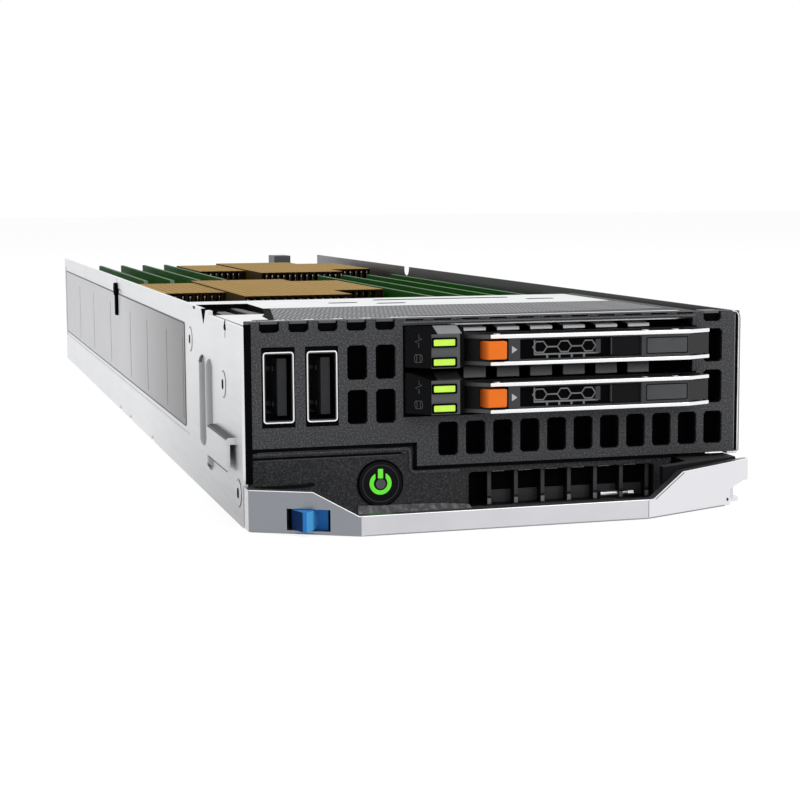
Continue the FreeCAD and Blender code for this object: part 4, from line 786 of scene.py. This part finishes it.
# Drive grips: painted shade in the recess and on its floor, hexagon web, divider, tag plate, arrow, pins,
# slopes, painted shade in the gap at the release
web_centres, web_radius, web_squash, web_wire, web_rise = (6.35, 11.5, 16.65), 1.5, 0.82, 0.16, 0.35
web_sink, web_left, web_right, web_teeth, tooth_wide = 0.45, 5.2, 18.6, (7.7, 10.3, 12.9, 15.5), 0.4
grip_pins, grip_pin_y, grip_pin_radius = (-2.6, 28.9, 35.4), -5.4, 0.75
slope_plan = [(-8.3, -2.5), (-4.25, -6.12), (-4.25, -5.9), (-8.3, -2.3)]


def hexagon_web(mid, deep):
    level = mid + web_rise
    shapes = []
    for k, centre in enumerate(web_centres):
        hexagon = [(centre + u, deep, level + web_squash * v) for u, v in circle(0, 0, web_radius, 6)]
        shapes.append(tube(hexagon, web_wire, closed=True))
        if k + 1 < len(web_centres):
            link = (centre + web_radius, web_centres[k + 1] - web_radius)
            shapes.append(tube([(x, deep, level) for x in link], web_wire))
    shapes.append(tube([(web_left, deep, mid - 1.0), (web_left, deep, mid + 1.75)], web_wire))
    shapes.append(block(web_left - 0.1, web_right, deep - 0.12, deep + 0.2, mid - 1.25, mid - 0.95))
    shapes += [block(x, x + tooth_wide, deep, deep + 0.2, mid - 1.9, mid - 1.2) for x in web_teeth]
    return shapes


def grip_pieces(level):
    low, high = limits("ssd_handle_" + level)
    face, mid = low[Y], (low[Z] + high[Z]) / 2

    def outline(x0, x1, half, radius):
        return rounded(x0, x1, mid - half, mid + half, radius)

    def plate(points, front, back):
        return [extrude(points, "y", face + front, face + back)]

    def border(outer, inner):
        return [hoop(outer, inner, "y", face - 0.03, face + 0.1)]

    def put(name, shapes, finish, soft=0.0):
        piece(name + "_" + level, shapes, finish, soft, "grip_" + level)

    put("grip_recess", plate(outline(2.2, 27.8, 1.9, 0.3), 0.6, 0.72), "shadow")
    put("grip_web", hexagon_web(mid, face + web_sink), "web")
    wedge = [(18.2, face + 0.25), (19.6, face + 0.7), (18.0, face + 0.7)]
    divider = [block(21.3, 21.55, face + 0.1, face + 0.7, mid - 1.6, mid + 1.85),
               extrude(wedge, "z", mid - 1.2, mid + 1.6)]
    put("grip_divider", divider, "grip", soft=0.05)
    put("grip_floor", plate(outline(21.6, 27.7, 1.8, 0.3), 0.5, 0.62), "button")
    put("grip_tag", plate(outline(29.15, 37.75, 1.45, 0.2), -0.01, 0.1), "tag")
    arrow = [(0.35, mid - 0.75), (1.5, mid), (0.35, mid + 0.75)]
    put("grip_arrow", plate(arrow, -0.06, 0.05), "mark")
    put("grip_frame", border(outline(28.9, 38.0, 1.7, 0.3), outline(29.1, 37.8, 1.5, 0.2)), "facet")
    pin_rounds = [circle(x, grip_pin_y, grip_pin_radius, 16) for x in grip_pins]
    put("grip_pins", prisms(pin_rounds, "z", mid + 3.02, mid + 3.2), "steel", 0.08)
    slopes = [extrude(slope_plan, "z", mid + a, mid + b) for a, b in ((-3.0, -2.25), (2.25, 3.0))]
    put("grip_slopes", slopes, "slope")
    gap = border(outline(-4.1, -0.35, 2.2, 0.2), outline(-4.0, -0.82, 1.88, 0.1))
    put("release_gap", gap, "shadow")


grip_pieces("lower")
grip_pieces("upper")

# Left wall: label sheet with panel lines, keyhole filled with painted shade
wall = -limits("chassis_tray")[1][X]
recess = wall + 0.35
label_face, label_border = rounded(74.0, 385.6, 11.3, 34.9, 0.8), rounded(73.6, 386.0, 10.9, 35.3, 1.0)
piece("label_sheet", [extrude(label_face, "x", recess - 0.12, recess + 0.1)], "label")
line_spots, line_wide, line_rise = (76.2, 103.0, 140.0, 177.0, 228.0, 280.0, 330.0), 0.5, (12.6, 31.6)
line_faces = [rectangle(y, y + line_wide, *line_rise) for y in line_spots]
label_lines = prisms(line_faces, "x", recess - 0.15, recess - 0.05)
label_lines.append(hoop(label_border, label_face, "x", recess - 0.14, recess + 0.1))
piece("label_lines", label_lines, "rule")
key_y, key_z, key_radius = 207.0, 36.6, 1.9
key_stem = rounded(key_y - 1.1, key_y + 1.1, 28.6, key_z, 0.9)
key_slit = rounded(key_y - 0.2, key_y + 0.2, 38.3, 39.9, 0.1)
keyhole = [extrude(circle(key_y, key_z, key_radius, 24), "x", wall - 0.95, wall + 0.1),
           extrude(key_stem, "x", wall - 0.7, recess + 0.1),
           extrude(key_slit, "x", wall - 0.03, recess)]
dark("keyhole_shade", keyhole, soft=0.2)

# Left wall: raised ribs in painted shade with painted shade at their ends, painted shade on the hook's
# rounded edge and under it, rivets, which are on both walls, with painted shade in their centres
front_rib, rear_rib, rib_steps = 37.0, 46.4, 10
rib_taper = ((0.0, 0.35), (0.5, 0.75), (1.4, 1.0))


def rib(y, low, high, half, rise):
    arc = [math.radians(180 * i / rib_steps) for i in range(rib_steps + 1)]
    levels = [(low + inset, k) for inset, k in rib_taper]
    levels += [(high - inset, k) for inset, k in rib_taper[::-1]]
    verts = []
    for z, k in levels:
        verts += [(wall + 0.1 - (rise + 0.1) * k * math.sin(a), y + half * k * math.cos(a), z) for a in arc]
    return verts, loft_faces(len(levels), len(arc), False)


ribs = [rib(front_rib, 6.3, 29.9, 2.5, 0.75), rib(rear_rib, 10.2, 29.9, 2.5, 0.75)]
piece("wall_ribs", ribs, "bead")
rib_shades = [rib(rear_rib, 27.2, 30.0, 2.3, 0.82), rib(front_rib, 6.2, 8.4, 2.0, 0.8)]
piece("rib_shades", rib_shades, "part")
hook_z, hook_out, hook_round, hook_span = 16.7, 1.8, 0.9, (8.65, 31.4)
hook_centre = (wall - hook_out + hook_round, hook_z - hook_round)
hook_turns = [math.radians(90 + 12 * i) for i in range(6)]


def hook_arc(radius, turns):
    return [(hook_centre[0] + radius * math.cos(a), hook_centre[1] + radius * math.sin(a)) for a in turns]


hook_round_shade = [(wall, hook_z + 0.04)] + hook_arc(0.94, hook_turns) + hook_arc(0.84, hook_turns[::-1])
hook_round_shade += [(wall, hook_z - 0.06)]
hook_low_shade = tube([(wall - 1.5, y, 9.92) for y in (8.8, 31.3)], 0.1)
piece("hook_shades", [extrude(hook_round_shade, "y", *hook_span), hook_low_shade], "part")
left_rivets = ((62.9, 32.2), (20.1, 26.2), (4.5, 6.3))
right_rivets = left_rivets[:2]
rivet_radii = (2.85, 2.66)
rivet_rings = [ring(y, z, rivet_radii, 32, "x", wall - 0.03, wall + 0.1) for y, z in left_rivets]
rivet_rings += [ring(y, z, rivet_radii, 32, "x", -wall - 0.1, -wall + 0.03) for y, z in right_rivets]
piece("rivet_rings", rivet_rings, "rule")
left_holes = [rounded(y - 0.9, y + 0.9, z - 1.0, z + 1.0, 0.6) for y, z in left_rivets]
right_holes = [rounded(y - 0.5, y + 0.5, z - 0.9, z + 0.9, 0.4) for y, z in right_rivets]
rivet_hole_shades = prisms(left_holes, "x", wall - 0.24, wall - 0.1)
rivet_hole_shades += prisms(right_holes, "x", -wall + 0.1, -wall + 0.24)
dark("rivet_hole_shades", rivet_hole_shades)

# Painted shade: black in the notch, slit and nick in the left wall's top edge, and a black duct and linings
# under the cover's cut-away corner
inner_wall, cover_top = wall + 1.0, limits("top_cover")[1][Z]
notch_face = [(44.2, 36.8), (47.17, 40.0), (46.92, 40.0), (44.15, 37.0)]
slit_face = [(17.2, 39.4), (17.6, 39.4), (18.9, 37.9), (18.6, 37.4), (16.2, 37.4), (16.4, 37.9)]
nick_face = [(55.0, 39.95), (58.8, 39.95), (57.6, 39.3), (56.4, 39.3)]
notch_darks = [extrude(notch_face, "x", wall - 0.02, wall + 1.02)]
dark("notch_darks", notch_darks + prisms((slit_face, nick_face), "x", wall - 0.03, wall + 0.1))
duct_right, duct_span, duct_top, duct_roof = -36.2, (24.0, 88.0), 36.2, 37.2
lining_rise = (38.0, cover_top + 0.02)
cut_side = [(-37.55, 73.98), (-37.4, 73.98), (-37.4, 54.0), (-40.55, 36.1), (-40.7, 36.1), (-37.55, 54.1)]
cut_shades = [block(-51.1, -37.5, 73.8, 73.98, *lining_rise), extrude(cut_side, "z", *lining_rise),
               block(-51.4, duct_right, 87.2, 88.0, duct_roof, 38.15)]
dark("cut_shades", cut_shades)
duct_boxes = ((inner_wall, duct_right, *duct_span, duct_top, duct_roof),
              (duct_right - 0.8, duct_right, *duct_span, 1.0, duct_top),
              (inner_wall, inner_wall + 0.3, 36.5, 52.0, 33.0, 38.7),
              (inner_wall, inner_wall + 0.3, 16.0, 19.5, 35.0, 38.1))
dark("side_duct_shade", [block(*box) for box in duct_boxes])
strip_plans = ([(-41.6, 74.0), (-40.0, 74.0), (-37.9, 47.5), (-40.9, 47.0)],
               [(-46.7, 61.5), (-44.4, 61.0), (-44.0, 50.0), (-47.2, 47.0)])
piece("duct_strips", prisms(strip_plans, "z", duct_roof, 38.3), "slope", soft=0.3)

# Top cover: hatched strip, its dark edge, ledges and their lines, painted shade as black linings in the holes
screen_low, screen_front, screen_right = 38.9, 17.6, 45.9
screen_plan = [(-42.3, screen_front), (-15.0, screen_front), (screen_right, 23.5), (screen_right, 53.9),
               (-35.9, 53.9)]
piece("cover_screen", [extrude(screen_plan, "z", screen_low, cover_top + 0.06)], "screen")
edge_plan = [(-42.4, 17.5), (-43.4, 17.5), (-42.6, 29.0), (-40.7, 36.0), (-37.5, 54.2), (-35.9, 54.0)]
dark("screen_edge", [extrude(edge_plan, "z", screen_low, cover_top + 0.04)])
ledge_plan = [(-14.0, screen_front), (screen_right, screen_front), (screen_right, 23.1)]
cover_ledges = [extrude(ledge_plan, "z", screen_low, cover_top + 0.02),
                block(46.0, 48.6, 5.0, 86.0, cover_top - 0.1, cover_top + 0.06)]
piece("cover_ledges", cover_ledges, "ledge")
ledge_lines = (([(-14.0, 17.75), (screen_right, 23.3)], cover_top + 0.04, 0.12),
               ([(10.0, 17.75), (screen_right, 21.0)], cover_top, 0.1),
               ([(47.4, 6.0), (47.4, 85.0)], cover_top + 0.04, 0.12))
ledge_tubes = [tube([(x, y, z) for x, y in path], radius) for path, z, radius in ledge_lines]
piece("ledge_lines", ledge_tubes, "web")
holes = ((-6.0, 28.0, 76.0, 78.6, 0.75), (-19.0, -12.0, 68.0, 70.4, 0.95), (-8.5, -1.5, 63.2, 65.6, 0.95),
         (30.0, 37.0, 68.0, 70.4, 0.95), (-47.0, -43.2, 16.5, 18.3, 0.3))
hole_wall, hole_rise = 0.2, (38.2, cover_top + 0.02)
hole_shades = []
for x0, x1, y0, y1, r in holes:
    inner = rounded(x0 + hole_wall, x1 - hole_wall, y0 + hole_wall, y1 - hole_wall, 0.8 * r)
    hole_shades.append(hoop(rounded(x0, x1, y0, y1, r), inner, "z", *hole_rise))
dark("hole_shades", hole_shades)

# Heatsinks: silver fin tips and dark stems on the front faces of the core and its two wings
sink_edges, wing_set_back, wing_drop, wing_stem, core_stem = (-14.6, 1.6, 30.0, 47.0), 29.0, 0.4, 4.5, 2.2
tip_shift, tip_half, stem_half, tip_top, tip_low, tip_back = 0.25, 0.16, 0.07, 0.9, 1.5, 0.4
for label, sign in (("front", -1), ("rear", 1)):
    low, high = limits("heatsink_" + label)
    wing = (low[Y] + wing_set_back, high[Z] - wing_drop, wing_stem)
    core = (low[Y], high[Z], core_stem)
    tips, stems = [], []
    for a, b, (y, top, tall) in zip(sink_edges, sink_edges[1:], (wing, core, wing)):
        back, foot = y + tip_back, top - tip_top - tall
        for i in range(1, int((b - a) / FIN_PITCH) + 1):
            x = sign * (a + i * FIN_PITCH - tip_shift)
            tips.append(block(x - tip_half, x + tip_half, y - 0.05, back, top - tip_low, top - tip_top))
            stems.append(block(x - stem_half, x + stem_half, y - 0.03, back, foot, top - tip_low))
    piece("fin_tips_" + label, tips, "tip")
    piece("fin_stems_" + label, stems, "rule")

# Memory: black chips on both faces of the modules, pale front ends
module_spots, module_half, end_low = [17.0 + 8.3 * i for i in range(4)], 0.63, 26.2
chip_count, chip_first, chip_last, chip_long, chip_gap = 9, 5.0, 4.15, 10.6, 0.1
chip_away, chip_half, chip_rise = 1.7, 0.06, (17.6, 29.4)
for label, sign in (("front", 1), ("rear", -1)):
    low, high = limits("dimms_" + label)
    front, top = low[Y], high[Z] + 0.02
    chip_pitch = (high[Y] - front - chip_first - chip_last - chip_long) / (chip_count - 1)
    chips, ends = [], []
    for mid in (sign * spot for spot in module_spots):
        ends.append(block(mid - module_half, mid + module_half, front - 0.04, front + 0.3, end_low, top))
        for k in range(chip_count):
            y = front + chip_first + chip_pitch * k
            chip_span = (y + chip_gap, y + chip_long - chip_gap)
            for x in (mid - chip_away, mid + chip_away):
                chips.append(block(x - chip_half, x + chip_half, *chip_span, *chip_rise))
    piece("module_chips_" + label, chips, "chip", soft=0.04)
    piece("module_ends_" + label, ends, "edge")

# Rear connectors: hollow shells with rows of contacts
plug_wall, plug_deep, plug_overlap = 1.3, 6.0, 0.1
contact_pitch, contact_margin, contact_half, contact_back = 2.2, 5.0, 0.3, 1.2
low, high = limits("midplane_connectors")
floor_y, floor_wall = high[Y] - plug_deep, plug_wall - plug_overlap
floor_rise = (low[Z] + floor_wall, high[Z] - floor_wall)
contact_rows = [low[Z] + 3.2 + 2.4 * k for k in range(6)]
shells, contacts = [], []
for a, b in ((-46.0, -16.0), (-12.0, 12.0), (16.0, 46.0)):
    outer = rounded(a, b, low[Z], high[Z], 0.6)
    inner = rounded(a + plug_wall, b - plug_wall, low[Z] + plug_wall, high[Z] - plug_wall, 0.4)
    shells.append(hoop(outer, inner, "y", low[Y], high[Y]))
    shells.append(block(a + floor_wall, b - floor_wall, low[Y] + plug_overlap, floor_y, *floor_rise))
    count = int((b - a - contact_margin) / contact_pitch)
    for i in range(count + 1):
        x = (a + b) / 2 + (i - count / 2) * contact_pitch
        for z in contact_rows:
            pad = rectangle(x - contact_half, x + contact_half, z - contact_half, z + contact_half)
            contacts.append(extrude(pad, "y", floor_y, high[Y] - contact_back))
plug_shells = piece("plug_shells", shells, "socket", soft=0.15)
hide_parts("midplane_connectors")
piece("plug_contacts", contacts, "gold", soft=0.08)

# Pale floor, sizes in metres: seen as white, with the part's shadow on it
WHITE, floor_paint = (1.0, 1.0, 1.0, 1.0), (0.9, 0.9, 0.9, 1.0)
floor_half, floor_glow, glow_share = 6, 1.2, 0.7
floor_corners = [(x, y, 0) for x, y in rectangle(-floor_half, floor_half, -floor_half, floor_half)]
floor_mesh = bpy.data.meshes.new("floor")
floor_mesh.from_pydata(floor_corners, [], [(0, 1, 2, 3)])
floor = bpy.data.objects.new("floor", floor_mesh)
bpy.context.scene.collection.objects.link(floor)


def seen_directly(tree):
    path = tree.nodes.new("ShaderNodeLightPath")
    seen = path.outputs["Is Camera Ray"]
    for other in ("Is Glossy Ray", "Is Transmission Ray"):
        seen = combine(tree, "MAXIMUM", seen, path.outputs[other])
    return seen


floor_mat = bpy.data.materials.new("floor_pale")
tree, out = blank_tree(floor_mat, "ShaderNodeOutputMaterial")
paint = add_node(tree, "BsdfDiffuse", {0: floor_paint}, {})
shine = add_node(tree, "Emission", {0: WHITE, 1: floor_glow}, {})
share = spread(tree, seen_directly(tree), 0.0, glow_share)
mix = add_node(tree, "MixShader", {}, {0: share, 1: paint.outputs[0], 2: shine.outputs[0]})
tree.links.new(mix.outputs[0], out.inputs[0])
floor.data.materials.append(floor_mat)

# White surroundings, which light the part at half strength
sky_light, sky_seen = 0.5, 1.0
world = bpy.data.worlds.new("studio")
bpy.context.scene.world = world
tree, out = blank_tree(world, "ShaderNodeOutputWorld")
strength = spread(tree, seen_directly(tree), sky_light, sky_seen)
back = add_node(tree, "Background", {0: WHITE}, {1: strength})
tree.links.new(back.outputs[0], out.inputs[0])


# Soft lamps: places and sizes in metres
def lamp(name, place, aim, size, watts):
    data = bpy.data.lights.new(name, "AREA")
    data.shape = "RECTANGLE"
    data.size, data.size_y = size
    data.energy = watts
    lit = bpy.data.objects.new(name, data)
    lit.location = place
    lit.rotation_euler = (Vector(aim) - Vector(place)).to_track_quat("-Z", "Y").to_euler()
    bpy.context.scene.collection.objects.link(lit)


lamp("top_soft", (0.1, 0.1, 1.2), (0, 0.1, 0.02), (1.2, 1.2), watts=6)
lamp("front_soft", (0.9, -1.0, 0.6), (0, 0.0, 0.02), (0.8, 0.6), watts=6)

# Camera at the photograph's viewing angle
lens_px, frame_px, sensor_mm = 1772.2, 800.0, 36.0
turn, rise, roll = math.radians(-15.47), math.radians(6.54), math.radians(-0.36)
camera_place = Vector((-113.5, -334.7, 63.8)) * MM
camera_data = bpy.data.cameras.new("camera")
camera_data.sensor_fit = "HORIZONTAL"
camera_data.sensor_width = sensor_mm
camera_data.lens = lens_px / frame_px * sensor_mm
camera_data.clip_start = 0.01
camera = bpy.data.objects.new("camera", camera_data)
back_dir = Vector((math.sin(turn) * math.cos(rise), -math.cos(turn) * math.cos(rise), math.sin(rise)))
right_dir = Vector((math.cos(turn), math.sin(turn), 0.0))
up_dir = back_dir.cross(right_dir)
turned_right = right_dir * math.cos(roll) + up_dir * math.sin(roll)
turned_up = up_dir * math.cos(roll) - right_dir * math.sin(roll)
columns = (turned_right, turned_up, back_dir, camera_place)
camera.matrix_world = Matrix([[column[axis] for column in columns] for axis in (X, Y, Z)] + [[0, 0, 0, 1]])
bpy.context.scene.collection.objects.link(camera)
bpy.context.scene.camera = camera
bpy.context.scene.view_settings.view_transform = "Standard"
